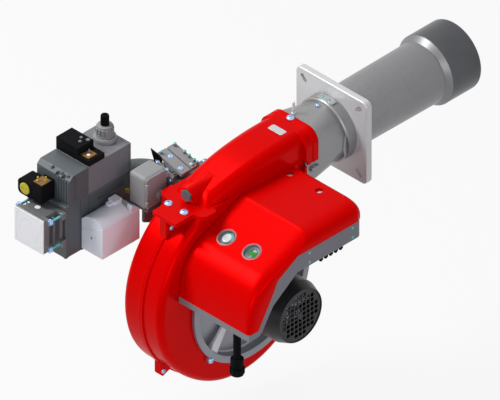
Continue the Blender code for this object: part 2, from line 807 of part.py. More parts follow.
def cast_head_body():
    start = BODY_REAR
    straight = BODY_REAR + BODY_STRAIGHT
    shell = loft("cast_head_body", [
        ring_section(start, BODY_HALF, BODY_TOP, BODY_BOTTOM, BODY_CORNER),
        ring_section(straight, BODY_HALF, BODY_TOP, BODY_BOTTOM, BODY_CORNER),
        round_section(COLLAR_START, BODY_NOSE),
        round_section(COLLAR_START + CUT / 2, BODY_NOSE)])
    join(shell, rod("collar", (0, COLLAR_START, 0), "Y", COLLAR_RADIUS, COLLAR_LENGTH - SEAT))
    width, depth, height = JOINT_BLOCK
    middle = COLLAR_START + COLLAR_LENGTH / 2
    join(shell, box("joint_block", (-width / 2, middle - depth / 2, COLLAR_RADIUS - height),
                    (width / 2, middle + depth / 2, COLLAR_RADIUS + SEAT)))
    hollow = loft("head_hollow", [
        ring_section(start - CUT, BODY_HALF - BODY_WALL, BODY_TOP - BODY_WALL, BODY_BOTTOM - BODY_WALL,
                     BODY_CORNER - BODY_WALL),
        ring_section(straight, BODY_HALF - BODY_WALL, BODY_TOP - BODY_WALL, BODY_BOTTOM - BODY_WALL,
                     BODY_CORNER - BODY_WALL),
        round_section(COLLAR_START, BODY_NOSE - BODY_WALL),
        round_section(CUT, BODY_NOSE - BODY_WALL)])
    cut(shell, hollow)
    cut(shell, rod("tube_seat", (0, TUBE_START - SEAT, 0), "Y", TUBE_RADIUS + SEAT, COLLAR_LENGTH))
    return finish(shell, "cast_grey")


def scroll_radius(travel, offset):
    """Casing radius at a share of its travel from the cut-off to the tongue."""
    return SCROLL_RADIUS * smooth_value(SCROLL_RADIUS_SHARES, travel) + offset


def scroll_outline(offset, top=0.0, outlet=0.0, steps=25):
    """Casing outline in (y, z): volute, then the throat towards the boiler."""
    points = []
    for i in range(steps + 1):
        travel = i / steps
        angle = math.radians(SCROLL_START - SCROLL_SWEEP * travel)
        radius = scroll_radius(travel, offset)
        points.append((FAN.y + radius * math.cos(angle), FAN.z + radius * math.sin(angle)))
    points[-1] = (points[-1][0], THROAT_TOP)
    if top:
        points.append((points[-1][0], THROAT_TOP + top))
    points.append((BODY_REAR - SEAT + outlet, THROAT_TOP + top))
    points.append((BODY_REAR - SEAT + outlet, -THROAT_BOTTOM - offset))
    return points


def scroll_solid(name, side, layers):
    """Casing outline stacked sideways through (x, offset) layers."""
    return loft(name, [[(side * x, y, z) for y, z in scroll_outline(offset)] for x, offset in layers])


def scroll_half(name, side, openings):
    edge_layers = []
    for i in range(4):
        angle = math.radians(90 * i / 3)
        edge_layers.append((SCROLL_HALF - SCROLL_EDGE * (1 - math.sin(angle)),
                            -SCROLL_EDGE * (1 - math.cos(angle))))
    split = SEAT / 2
    shell = scroll_solid(name, side, [(split, SEAM_LIP), (SEAM_HALF - FINE, SEAM_LIP),
                                      (SEAM_HALF + FINE, 0)] + edge_layers)
    foot_low = (side * split, -FOOT_BACK, -FOOT_DROP)
    foot_high = (side * FOOT_HALF, -FOOT_BACK + FOOT_LENGTH, -FOOT_DROP + FOOT_HEIGHT)
    join(shell, box("foot", [min(a, b) for a, b in zip(foot_low, foot_high)],
                    [max(a, b) for a, b in zip(foot_low, foot_high)]))
    rim_end = -LOBE_FRONT + LOBE_LENGTH if side > 0 else BODY_REAR - RIDGE_LENGTH / 2
    rim_low = (SCROLL_HALF - SCROLL_WALL, -LOBE_FRONT + LOBE_CORNER, THROAT_TOP - RIM_THICK)
    rim_high = (SCROLL_HALF + RIM_REACH, rim_end, THROAT_TOP)
    join(shell, sided_box("rim", side, rim_low, rim_high))
    join(shell, sided_box("outlet_flange", side,
                          (split, BODY_REAR - SEAT - OUTLET_THICK, -THROAT_BOTTOM - OUTLET_REACH),
                          (SCROLL_HALF + OUTLET_REACH, BODY_REAR - SEAT, -OUTLET_DROP)))
    inner = SCROLL_HALF - SCROLL_WALL
    pocket_layers = [(-CUT, -SCROLL_WALL), (SCROLL_HALF - SCROLL_EDGE, -SCROLL_WALL),
                     (inner - SCROLL_EDGE * 0.36, -SCROLL_WALL - SCROLL_EDGE * 0.16),
                     (inner, -SCROLL_WALL - SCROLL_EDGE * 0.6)]
    pocket = loft("pocket", [[(side * x, y, z) for y, z in scroll_outline(offset, CUT, CUT)]
                             for x, offset in pocket_layers])
    cut(shell, pocket)
    cut(shell, *openings)
    return finish(shell, "red_enamel", 40)


def sided_box(name, side, low, high):
    """Box given for the right side, mirrored when side is -1."""
    if side > 0:
        return box(name, low, high)
    return box(name, (-high[0], low[1], low[2]), (-low[0], high[1], high[2]))


def scroll_halves():
    foot_hole = [rod("foot_hole", (-CUT, -FOOT_BACK + FOOT_LENGTH / 3, -FOOT_DROP + FOOT_LENGTH / 2), "X",
                     FOOT_BOLT_HOLE / 2, 2 * CUT, sides=12) for _ in range(2)]
    inlet = rod("inlet_opening", (CUT, FAN.y, FAN.z), "X", INLET_HOLE, SCROLL_HALF, sides=ROUND)
    right = scroll_half("scroll_right_half", 1, [foot_hole[0], inlet])
    port = rod("gas_port", (-SCROLL_HALF - CUT, -ENTRY_BACK, -GAS_DROP), "X", WALL_PORT, 2 * CUT, sides=20)
    damper_hole = rod("damper_hole", (-SCROLL_HALF - CUT, -DAMPER_BACK, -DAMPER_DROP), "X",
                      DAMPER_SHAFT + SHAFT_CLEAR, 2 * CUT, sides=12)
    left = scroll_half("scroll_left_half", -1, [foot_hole[1], port, damper_hole])
    return left, right


def cover_outline():
    """Plan of the head cover's base: tongue, lobes and side strips."""
    lobe_front = -LOBE_FRONT
    lobe_back = -LOBE_FRONT + LOBE_LENGTH
    end = RIDGE_FRONT + RIDGE_WALL / 2
    return ([(TONGUE_RIGHT, -TONGUE_FRONT), (TONGUE_RIGHT, lobe_front)]
            + arc((LOBE_HALF - LOBE_CORNER, lobe_front + LOBE_CORNER), LOBE_CORNER, -75, 0, 3)
            + [(LOBE_HALF, lobe_back - LOBE_CORNER / 2), (SCROLL_HALF, lobe_back), (SCROLL_HALF, end),
               (-SIDE_STRIP, end), (-SIDE_STRIP, lobe_back), (-LOBE_HALF, lobe_back - LOBE_CORNER / 2)]
            + arc((-LOBE_HALF + LOBE_CORNER, lobe_front + LOBE_CORNER), LOBE_CORNER, 180, 255, 3)
            + [(-TONGUE_LEFT, lobe_front), (-TONGUE_LEFT, -TONGUE_FRONT)])


def hump_sections(inset, bottom, overrun):
    """Arch sections from the front slope to the ridge, shrunk by a wall."""
    sections = []
    for i, share in enumerate(HUMP_LENGTH_SHARES):
        y = HUMP_FRONT + HUMP_LENGTH * share
        half = HUMP_HALF * HUMP_HALF_SHARES[i] - inset
        top = COVER_BASE + HUMP_HEIGHT * HUMP_HEIGHT_SHARES[i] - inset
        if i == 0:
            y += inset * 2
        if i == len(HUMP_LENGTH_SHARES) - 1:
            y += overrun
        corner = min(HUMP_CORNER, top - max(bottom, COVER_BASE) - SEAT)
        sections.append(arch(y, half, top, bottom, corner))
    return sections


def arch(y, half, top, bottom, corner):
    """Flat-bottomed arch across the cover, from right foot to left foot."""
    right = [(x, y, z) for x, z in arc((half - corner, top - corner), corner, 0, 90, 5)]
    left = [(-x, y, z) for x, _, z in reversed(right)]
    return [(half, y, bottom)] + right + left + [(-half, y, bottom)]


def ridge_section(y, drop, bottom):
    return arch(y, RIDGE_HALF - drop, RIDGE_HEIGHT - drop, bottom, RIDGE_CORNER - drop)


def head_cover():
    cover = plate("head_cover", [cover_outline()], COVER_THICK, (0, 0, COVER_BASE))
    join(cover, loft("hump", hump_sections(0, COVER_BASE + COVER_WALL, RIDGE_LENGTH / 4)))
    drops = [RIDGE_GROOVE * share for share in RIDGE_DROP_SHARES]
    join(cover, loft("ridge", [ridge_section(RIDGE_FRONT + RIDGE_LENGTH * share, drop, 0)
                               for share, drop in zip(RIDGE_SHARES, drops)]))
    boss_start = (0, -BOSS_FRONT, BOSS_HEIGHT)
    join(cover, rod("sight_boss", boss_start, "Y", BOSS_RADIUS, BOSS_LENGTH, sides=18))
    join(cover, box("boss_stem", (-BOSS_RADIUS, -BOSS_FRONT + SEAT, COVER_BASE + COVER_WALL),
                    (BOSS_RADIUS, -BOSS_FRONT + BOSS_LENGTH / 2, BOSS_HEIGHT)))
    rib = box("tongue_rib", (-RIB_LEFT, -TONGUE_FRONT + SEAT, COVER_BASE - RIB_DEPTH),
              (RIB_RIGHT, -LOBE_FRONT + LOBE_CORNER, COVER_BASE + COVER_WALL))
    join(cover, rib)
    clear = loft("casing_clearance", [[(x, y, z) for y, z in scroll_outline(SEAM_LIP + SEAT, SEAT / 2)]
                                      for x in (-SCROLL_HALF - CUT, SCROLL_HALF + CUT)])
    ridge_hollow = loft("ridge_hollow", [ridge_section(y, RIDGE_WALL, -CUT) for y in
                                         (RIDGE_FRONT + RIDGE_WALL, RIDGE_FRONT + RIDGE_LENGTH + CUT)])
    cut(cover, clear, loft("hump_hollow", hump_sections(COVER_WALL, -CUT, RIDGE_LENGTH / 4)), ridge_hollow)
    cut(cover, rod("sight_bore", (0, -BOSS_FRONT - CUT, BOSS_HEIGHT), "Y", SIGHT_BORE, BOSS_LENGTH + CUT,
                   sides=16))
    return finish(cover, "red_enamel", 40)


def sight_plug():
    head = rod("sight_plug", (0, -BOSS_FRONT - SEAT - PLUG_HEAD, BOSS_HEIGHT), "Y",
               PLUG_ACROSS / math.sqrt(3), PLUG_HEAD, sides=6)
    join(head, rod("plug_shank", (0, -BOSS_FRONT - PLUG_HEAD / 2, BOSS_HEIGHT), "Y", SIGHT_BORE - SEAT,
                   PLUG_SHANK, sides=16))
    return finish(head, "valve_grey")


def lug_outline(angle):
    """Round-ended lug pointing out from the inlet ring."""
    turn = math.radians(angle)
    root = (RING_RADIUS + DISH_RADIUS) / 2
    points = ([(root, -LUG_HALF)] + arc((LUG_RADIUS - LUG_REACH / 4, 0), LUG_HALF, -90, 90, 6)
              + [(root, LUG_HALF)])
    return [(y * math.cos(turn) - z * math.sin(turn), y * math.sin(turn) + z * math.cos(turn))
            for y, z in points]


def inlet_ring():
    face = SCROLL_HALF + SEAT
    front = SCROLL_HALF + RING_FACE
    profile = [
        (RING_RADIUS, face - face), (RING_RADIUS, front - face), (DISH_RADIUS - DISH_WALL, front - face),
        (DISH_RADIUS - DISH_WALL, DISH_FLOOR + DISH_WALL - face), (EYE_RADIUS, DISH_FLOOR + DISH_WALL - face),
        (EYE_RADIUS, DISH_FLOOR - face), (DISH_RADIUS, DISH_FLOOR - face), (DISH_RADIUS, face - face)]
    ring = turned("inlet_ring", (face, FAN.y, FAN.z), "X", profile[::-1], sides=RING_SIDES)
    for i in range(LUG_COUNT):
        outline = lug_outline(LUG_FIRST + 360 * i / LUG_COUNT)
        join(ring, plate("ring_lug", [outline], RING_FACE - 2 * SEAT, (face + SEAT, FAN.y, FAN.z), "X"))
    return finish(ring, "cast_grey")


def motor_spider():
    hub = turned("motor_spider", (SPIDER_FACE, FAN.y, FAN.z), "X",
                 [(SPIDER_BORE, 0), (SPIDER_BORE, SPIDER_THICK), (SPIDER_RIM, SPIDER_THICK), (SPIDER_RIM, 0)])
    outer = (DISH_RADIUS - DISH_WALL) * math.cos(math.pi / RING_SIDES) - SEAT
    for i in range(LUG_COUNT):
        turn = Matrix.Rotation(math.radians(LUG_FIRST + 360 * i / LUG_COUNT), 3, "X")
        sections = []
        inner_radius = SPIDER_RIM - SPIDER_THICK
        for radius, half, lift in ((inner_radius, ARM_INNER_HALF, 0.0),
                                   (outer, ARM_OUTER_HALF, ARM_RISE)):
            low = SPIDER_FACE + lift
            loop = [(low + SEAT, -half), (low + SPIDER_THICK - SEAT, -half),
                    (low + SPIDER_THICK - SEAT, half), (low + SEAT, half)]
            sections.append([Vector((0, FAN.y, FAN.z)) + turn @ Vector((x, radius, z))
                             for x, z in loop])
        join(hub, loft("spider_arm", sections))
    return finish(hub, "spider_light")


def motor_body():
    start = MOTOR_START
    length = MOTOR_END - END_SHIELD - start
    points = []
    for i in range(FIN_COUNT):
        first = 360 * i / FIN_COUNT
        width = 360 / FIN_COUNT * FIN_SHARE
        for angle, radius in ((first, MOTOR_RADIUS), (first + 360 / FIN_COUNT - width, MOTOR_RADIUS),
                              (first + 360 / FIN_COUNT - width * 0.8, MOTOR_RADIUS + FIN_HEIGHT),
                              (first + 360 / FIN_COUNT - width * 0.2, MOTOR_RADIUS + FIN_HEIGHT)):
            turn = math.radians(angle)
            points.append((radius * math.cos(turn), radius * math.sin(turn)))
    body = plate("motor_body", [points], length, (start, FAN.y, FAN.z), "X")
    join(body, rod("end_shield", (MOTOR_END - END_SHIELD * 1.5, FAN.y, FAN.z), "X",
                   HOOD_RADIUS - HOOD_WALL - SEAT, END_SHIELD * 1.5, sides=36))
    cut(body, rod("shaft_bore", (start - CUT, FAN.y, FAN.z), "X", SHAFT_RADIUS + SHAFT_CLEAR,
                  MOTOR_END, sides=24))
    return finish(body, "motor_grey")


def motor_fan_cover():
    back = MOTOR_END - HOOD_OVERLAP
    base = [(HOOD_RADIUS, back), (HOOD_RADIUS, back + HOOD_STRAIGHT), (HOOD_NOSE, HOOD_FACE),
            (GRILLE_RADIUS + SEAT, HOOD_FACE), (GRILLE_RADIUS + SEAT, HOOD_FACE - HOOD_WALL * 2),
            (HOOD_RADIUS - HOOD_WALL, back + HOOD_STRAIGHT - HOOD_WALL), (HOOD_RADIUS - HOOD_WALL, back)]
    profile = [(radius, x - back) for radius, x in base]
    hood = turned("motor_fan_cover", (back, FAN.y, FAN.z), "X", profile, sides=36)
    return finish(hood, "black_plastic")


def fan_grille():
    """Disc of square openings round a plain hub."""
    outline = circle((0, 0), GRILLE_RADIUS, 36)
    holes = []
    reach = int(GRILLE_RADIUS / GRILLE_PITCH) + 1
    half = GRILLE_HOLE / 2
    for i in range(-reach, reach + 1):
        for j in range(-reach, reach + 1):
            y = i * GRILLE_PITCH
            z = j * GRILLE_PITCH
            far = math.hypot(abs(y) + half, abs(z) + half)
            near = math.hypot(y, z)
            if far > GRILLE_RADIUS - GRILLE_THICK or near < GRILLE_HUB:
                continue
            holes.append([(y - half, z - half), (y - half, z + half), (y + half, z + half),
                          (y + half, z - half)])
    face = HOOD_FACE - HOOD_WALL - GRILLE_THICK
    grille = plate("fan_grille", [outline] + holes, GRILLE_THICK, (face, FAN.y, FAN.z), "X")
    return finish(grille, "black_plastic")


def terminal_box():
    width, depth, height = TERMINAL_SIZE
    low = (MOTOR_START + TERMINAL_INSET, FAN.y - depth / 2, FAN.z + MOTOR_RADIUS + FIN_HEIGHT + SEAT)
    case = box("terminal_box", low, (low[0] + width, low[1] + depth, low[2] + height))
    soften(case, TERMINAL_EDGE)
    return finish(case, "black_plastic")


def motor_shaft():
    start = -WHEEL_LEFT + WHEEL_PLATE + SEAT
    end = HOOD_FACE - COOLER_LENGTH / 2
    shaft = rod("motor_shaft", (start, FAN.y, FAN.z), "X", SHAFT_RADIUS, end - start, sides=24)
    return finish(shaft, "shaft_steel")


def cooling_fan():
    start = MOTOR_END + COOLER_BLADE_THICK * 2
    hub = turned("cooling_fan", (start, FAN.y, FAN.z), "X", [
        (SHAFT_RADIUS + SEAT, 0), (SHAFT_RADIUS + SEAT, COOLER_LENGTH), (COOLER_HUB, COOLER_LENGTH),
        (COOLER_HUB, COOLER_BLADE_THICK), (COOLER_DISC, COOLER_BLADE_THICK), (COOLER_DISC, 0)], sides=18)
    blades = []
    for i in range(COOLER_BLADES):
        blade = box("cooler_blade", (0, COOLER_HUB - COOLER_BLADE_THICK, 0),
                    (COOLER_LENGTH - 2 * SEAT, COOLER_TIP, COOLER_BLADE_THICK))
        turn = Matrix.Rotation(math.tau * i / COOLER_BLADES, 4, "X")
        shift = Matrix.Translation((start + SEAT, FAN.y, FAN.z))
        blade.matrix_world = shift @ turn @ Matrix.Translation(blade.location)
        blades.append(blade)
    join(hub, merged("cooler_blades", blades))
    return finish(hub, "black_plastic")


def blade_outline(angle):
    """Curved blade seen along the shaft, bowed between its two radii."""
    steps = 2
    outer = []
    inner = []
    for i in range(steps + 1):
        share = i / steps
        radius = BLADE_INNER + (WHEEL_RADIUS - BLADE_INNER - BLADE_THICK / 2) * share
        turn = math.radians(angle + BLADE_SWEEP * share) + BLADE_BOW * math.sin(math.pi * share) / radius
        outer.append((radius, turn + BLADE_THICK / 2 / radius))
        inner.append((radius, turn - BLADE_THICK / 2 / radius))
    return [(radius * math.cos(turn), radius * math.sin(turn)) for radius, turn in outer + inner[::-1]]


def impeller():
    left = -WHEEL_LEFT
    width = WHEEL_WIDTH
    back = turned("impeller", (left, FAN.y, FAN.z), "X", [
        (SHAFT_RADIUS + SEAT, WHEEL_PLATE), (SHAFT_RADIUS + SEAT, WHEEL_HUB_LENGTH),
        (WHEEL_HUB, WHEEL_HUB_LENGTH),
        (WHEEL_HUB, WHEEL_PLATE), (WHEEL_RADIUS, WHEEL_PLATE), (WHEEL_RADIUS, 0), (SHAFT_RADIUS / 2, 0),
        (SHAFT_RADIUS / 2, WHEEL_PLATE)], sides=28)
    blades = []
    for i in range(BLADE_COUNT):
        outline = blade_outline(360 * i / BLADE_COUNT)
        blades.append(plate("blade", [outline], width - WHEEL_PLATE, (left + WHEEL_PLATE / 2, FAN.y, FAN.z),
                            "X"))
    join(back, merged("blades", blades))
    join(back, turned("front_ring", (left + width - WHEEL_PLATE, FAN.y, FAN.z), "X", [
        (WHEEL_EYE, 0), (WHEEL_EYE, WHEEL_PLATE), (WHEEL_RADIUS, WHEEL_PLATE), (WHEEL_RADIUS, 0)], sides=28))
    return finish(back, "shaft_steel")


def panel_point(share):
    """(y, z) of a share of the panel's length and height."""
    return (-PANEL_FRONT + PANEL_LENGTH * share[0], PANEL_TOP - PANEL_HEIGHT + PANEL_HEIGHT * share[1])


def panel_sections():
    """Cover sections from one parting line over the top to the other."""
    sections = []
    rows = zip(PANEL_OUTER_SHARES, PANEL_PARTING_SHARES, PANEL_CORNER_SHARES, PANEL_INSET_SHARES)
    for outer_share, parting_share, corner_share, inset_share in rows:
        outer = Vector(panel_point(outer_share))
        parting = Vector(panel_point(parting_share))
        along = (outer - parting).normalized()
        depth = (outer - parting).length
        right = PANEL_RIGHT - PANEL_BACK_CORNER * inset_share
        corner = PANEL_CORNER * corner_share
        edge = min(PANEL_LEFT_EDGE, depth / 2)
        loop = [(PANEL_LEFT, parting), (PANEL_LEFT, outer - along * edge), (PANEL_LEFT + edge, outer)]
        for i in range(6):
            angle = math.radians(90 * i / 5)
            side = math.sin(angle) ** (2 / PANEL_ROUND_POWER)
            down = 1 - math.cos(angle) ** (2 / PANEL_ROUND_POWER)
            loop.append((right - corner + corner * side, outer - along * depth * 0.9 * down))
        loop.append((right, parting))
        sections.append([(x, point.x, point.y) for x, point in loop])
    return sections


def lamp_frame():
    """Place on the sloping face, its downhill share, and the frame's axes."""
    low = Vector(panel_point(PANEL_OUTER_SHARES[5]))
    high = Vector(panel_point(PANEL_OUTER_SHARES[6]))
    spot = low.lerp(high, LAMP_SHARE)
    slope = (high - low).normalized()
    normal = Vector((0, -slope.y, slope.x))
    return Vector((0, spot.x, spot.y)), normal


def lamp_matrix(index, depth):
    """Local Z out of the sloping face, at a depth from it."""
    spot, normal = lamp_frame()
    place = Vector((PANEL_LEFT + LAMP_LEFT + LAMP_PITCH * index, spot.y, spot.z)) + normal * depth
    turn = normal.to_track_quat("Z", "Y").to_matrix().to_4x4()
    return Matrix.Translation(place) @ turn


def panel_cover():
    cover = skin("panel_cover", panel_sections())
    shell = cover.modifiers.new("wall", "SOLIDIFY")
    shell.thickness = PANEL_WALL
    shell.offset = -1
    shell.use_even_offset = True
    for index in range(2):
        hole = rod("lamp_hole", (0, 0, 0), "Z", LAMP_BORE + SEAT, 2 * CUT, sides=24)
        hole.matrix_world = lamp_matrix(index, 0)
        cut(cover, hole)
    for x, back in PANEL_HOLE_PLACES:
        place = (PANEL_LEFT + x, -PANEL_FRONT + PANEL_LENGTH - back, PANEL_TOP - CUT)
        cut(cover, rod("cover_hole", place, "Z", PANEL_HOLE, 2 * CUT, sides=20))
    return finish(cover, "red_enamel", 30)


def offset_line(points, distance):
    """Polyline moved sideways by a distance, corners mitred."""
    moved = []
    for i, point in enumerate(points):
        here = Vector(point)
        before = (here - Vector(points[i - 1])).normalized() if i else None
        after = (Vector(points[i + 1]) - here).normalized() if i + 1 < len(points) else None
        before = before or after
        after = after or before
        bisector = (before + after).normalized()
        normal = Vector((-bisector.y, bisector.x))
        stretch = 1 / max(normal.dot(Vector((-before.y, before.x))), 0.5)
        moved.append(tuple(here + normal * distance * stretch))
    return moved


def panel_base():
    under = [panel_point(share) for share in BASE_UNDER_SHARES]
    parting = [panel_point(share) for share in PANEL_PARTING_SHARES]
    parting = parting[:1] + parting[5:8] + parting[-1:]
    parting = [(y, z - SEAT) for y, z in offset_line(parting, -SEAT)]
    front = (under[0][0], parting[0][1])
    outline = under + parting[::-1] + [front]
    width = PANEL_RIGHT - PANEL_LEFT
    base = plate("panel_base", [outline], width, (PANEL_LEFT, 0, 0), "X")
    floor = offset_line(under, PANEL_WALL)
    floor[0] = (floor[0][0] + PANEL_WALL, floor[0][1])
    floor[-1] = (floor[-1][0] - PANEL_WALL, floor[-1][1])
    lid = offset_line(parting, CUT / 2)
    lid[-1] = (floor[-1][0], lid[-1][1])
    lid[0] = (lid[0][0], lid[0][1])
    room = plate("base_room", [floor + lid[::-1] + [(floor[0][0], parting[0][1] + CUT / 2)]],
                 width - 2 * PANEL_WALL, (PANEL_LEFT + PANEL_WALL, 0, 0), "X")
    cut(base, room)
    return finish(base, "panel_grey", 30)


def bezel(name, index):
    """Cup of a lamp: a thin rim on the sloping face and a sunk floor round the lamp."""
    inner = LAMP_BORE - LAMP_WALL
    ring = turned(name, (0, 0, 0), "Z", [
        (LAMP_BORE, 0), (LAMP_BORE, SEAT), (LAMP_RING, SEAT), (LAMP_RING, LAMP_RIM / 2),
        (LAMP_RING - LAMP_RIM / 2, LAMP_RIM), (inner, LAMP_RIM), (inner, -LAMP_RECESS),
        (LAMP_FACE + SEAT, -LAMP_RECESS), (LAMP_FACE + SEAT, -LAMP_DEPTH), (LAMP_BORE, -LAMP_DEPTH)],
        sides=16)
    ring.matrix_world = lamp_matrix(index, 0)
    return finish(ring, "lamp_white")


def lamp_faces():
    face = LAMP_FACE
    raised = BUTTON_TRAVEL + LAMP_RIM - LAMP_RECESS
    reset = turned("reset_button", (0, 0, 0), "Z", [
        (0, -LAMP_DEPTH), (face, -LAMP_DEPTH), (face, raised - LAMP_RIM / 2), (face - LAMP_RIM / 2, raised),
        (0, raised)], sides=16)
    reset.matrix_world = lamp_matrix(0, SEAT)
    lens = turned("run_lamp_lens", (0, 0, 0), "Z", [
        (0, -LAMP_DEPTH), (face, -LAMP_DEPTH), (face, -LAMP_RECESS - LAMP_RIM / 2), (0, -LAMP_RECESS)],
        sides=16)
    lens.matrix_world = lamp_matrix(1, 0)
    return finish(reset, "lamp_white"), finish(lens, "green_lens")


def panel_contents():
    """Control unit and ignition transformer on the tray's floor."""
    floor = panel_point(BASE_UNDER_SHARES[-1])[1] + PANEL_WALL + SEAT
    back = -PANEL_FRONT + PANEL_LENGTH - PANEL_WALL - PANEL_STANDOFF
    left = PANEL_LEFT + PANEL_WALL + PANEL_STANDOFF
    made = []
    for name, size, material in (("control_unit", CONTROL_SIZE, "black_plastic"),
                                 ("ignition_transformer", TRANSFORMER_SIZE, "servo_grey")):
        width, depth, height = size
        case = box(name, (left, back - depth, floor), (left + width, back, floor + height))
        made.append(finish(soften(case, PANEL_LEFT_EDGE / 2), material))
        left += width + PANEL_STANDOFF
    return made


def conduit():
    """Short conduit out of the panel's floor with its gland."""
    top = panel_point(BASE_UNDER_SHARES[0])[1] - SEAT
    place = (CONDUIT_X, -CONDUIT_BACK, -CONDUIT_END)
    pipe = rod("conduit", place, "Z", CONDUIT_RADIUS, top + CONDUIT_END, sides=12)
    low = -CONDUIT_END - GLAND_LENGTH * 0.75
    bore = CONDUIT_RADIUS + SEAT
    gland = turned("conduit_gland", (CONDUIT_X, -CONDUIT_BACK, low), "Z", [
        (bore * 0.6, 0), (GLAND_NUT_RADIUS * 0.85, 0), (GLAND_NUT_RADIUS, GLAND_LENGTH * 0.14),
        (GLAND_NUT_RADIUS, GLAND_LENGTH * 0.42), (GLAND_RADIUS * 0.86, GLAND_LENGTH * 0.46),
        (GLAND_RADIUS * 0.86, GLAND_LENGTH * 0.54), (GLAND_RADIUS, GLAND_LENGTH * 0.58),
        (GLAND_RADIUS, GLAND_LENGTH * 0.92), (GLAND_RADIUS * 0.86, GLAND_LENGTH), (bore, GLAND_LENGTH),
        (bore, GLAND_LENGTH * 0.70), (bore * 0.6, GLAND_LENGTH * 0.70)], sides=12)
    return finish(pipe, "black_plastic"), finish(gland, "black_plastic")


def connector_row():
    under = panel_point(BASE_UNDER_SHARES[-1])[1] - SEAT
    end = -CONNECTOR_BACK + CONNECTOR_PITCH * CONNECTOR_COUNT
    bar = box("connector_row", (CONNECTOR_X - CONNECTOR_RADIUS, -CONNECTOR_BACK, under - CONNECTOR_BAR),
              (CONNECTOR_X + CONNECTOR_RADIUS, end, under))
    for i in range(CONNECTOR_COUNT):
        place = (CONNECTOR_X, -CONNECTOR_BACK + CONNECTOR_PITCH * (i + 0.5),
                 under - CONNECTOR_BAR - CONNECTOR_DROP)
        join(bar, rod("connector", place, "Z", CONNECTOR_RADIUS - SEAT, CONNECTOR_DROP + CONNECTOR_BAR / 2,
                      sides=12))
    return finish(bar, "black_plastic")


def gas_manifold():
    low = (-MANIFOLD_FACE, -MANIFOLD_FRONT, -MANIFOLD_BOTTOM)
    high = (-SCROLL_HALF - SEAT, -MANIFOLD_FRONT + MANIFOLD_LENGTH, -SEAT)
    body = soften(box("gas_manifold", low, high), MANIFOLD_EDGE)
    cut(body, rod("gas_way", (-MANIFOLD_FACE - CUT, -ENTRY_BACK, -GAS_DROP), "X", GAS_BORE, MANIFOLD_FACE,
                  sides=24))
    return finish(body, "cast_grey")


def butterfly_valve():
    face = -BUTTERFLY_FACE
    gas_line = (face, -ENTRY_BACK, -GAS_DROP)
    body = rod("butterfly_body", gas_line, "X", BUTTERFLY_RADIUS, BUTTERFLY_LENGTH, sides=28)
    cut(body, rod("butterfly_bore", (face - CUT, -ENTRY_BACK, -GAS_DROP), "X", GAS_BORE,
                  BUTTERFLY_LENGTH + 2 * CUT, sides=28))
    middle = face + BUTTERFLY_LENGTH / 2
    cut(body, rod("spindle_hole", (middle, -ENTRY_BACK - BUTTERFLY_RADIUS - CUT, -GAS_DROP), "Y",
                  DISC_SHAFT + SHAFT_CLEAR, 2 * (BUTTERFLY_RADIUS + CUT), sides=16))
    start = -ENTRY_BACK - BUTTERFLY_RADIUS - DISC_LEVER_THICK - SEAT
    spindle = rod("butterfly_disc", (middle, start, -GAS_DROP), "Y", DISC_SHAFT,
                  2 * BUTTERFLY_RADIUS + DISC_LEVER_THICK, sides=16)
    disc = rod("disc", (0, 0, -DISC_THICK / 2), "Z", GAS_BORE - DISC_CLEAR, DISC_THICK, sides=28)
    turn = Matrix.Rotation(math.radians(90 - DAMPER_REST), 4, "Y")
    disc.matrix_world = Matrix.Translation((middle, -ENTRY_BACK, -GAS_DROP)) @ turn
    join(spindle, disc)
    lever = box("lever", (middle - DISC_SHAFT * 1.4, start - SEAT, -GAS_DROP - DISC_LEVER),
                (middle + DISC_SHAFT * 1.4, start + DISC_LEVER_THICK - SEAT, -GAS_DROP + DISC_SHAFT * 1.4))
    join(spindle, lever)
    carry("butterfly_axis", (middle, -ENTRY_BACK, -GAS_DROP), spindle)
    return finish(body, "cast_grey"), finish(spindle, "shaft_steel")


def gas_elbow():
    """Bend from the valve block round to the butterfly valve."""
    start_y = -ELBOW_START
    bend_y = -ENTRY_BACK - ELBOW_BEND
    end_x = -BUTTERFLY_FACE - SEAT
    solids = []
    for radius in (ELBOW_RADIUS, GAS_BORE):
        reach = CUT if radius == GAS_BORE else 0
        path = [(-GAS_LEFT, start_y - reach)]
        for i in range(ELBOW_STEPS + 1):
            angle = math.radians(180 - 90 * i / ELBOW_STEPS)
            path.append((-GAS_LEFT + ELBOW_BEND + ELBOW_BEND * math.cos(angle),
                         bend_y + ELBOW_BEND * math.sin(angle)))
        path.append((end_x + reach, -ENTRY_BACK))
        solids.append(bent_tube("elbow", path, radius, 16))
    elbow = solids[0]
    elbow.name = "gas_elbow"
    join(elbow, rod("elbow_flange", (-GAS_LEFT, start_y, -GAS_DROP), "Y", ELBOW_FLANGE, ELBOW_FLANGE_THICK,
                    sides=16),
         rod("elbow_flange", (end_x - ELBOW_FLANGE_THICK, -ENTRY_BACK, -GAS_DROP), "X", ELBOW_FLANGE,
             ELBOW_FLANGE_THICK, sides=16))
    cut(elbow, solids[1])
    return finish(elbow, "valve_grey")


def bent_tube(name, path, radius, sides):
    """Round solid along a level path at the gas line's height."""
    sections = []
    for i, (x, y) in enumerate(path):
        before = Vector(path[max(i - 1, 0)])
        after = Vector(path[min(i + 1, len(path) - 1)])
        along = (after - before).normalized()
        across = Vector((along.y, -along.x, 0))
        ring = []
        for j in range(sides):
            angle = math.tau * j / sides
            ring.append(Vector((x, y, -GAS_DROP)) + across * radius * math.cos(angle)
                        + Vector((0, 0, radius * math.sin(angle))))
        sections.append(ring)
    return loft(name, sections)


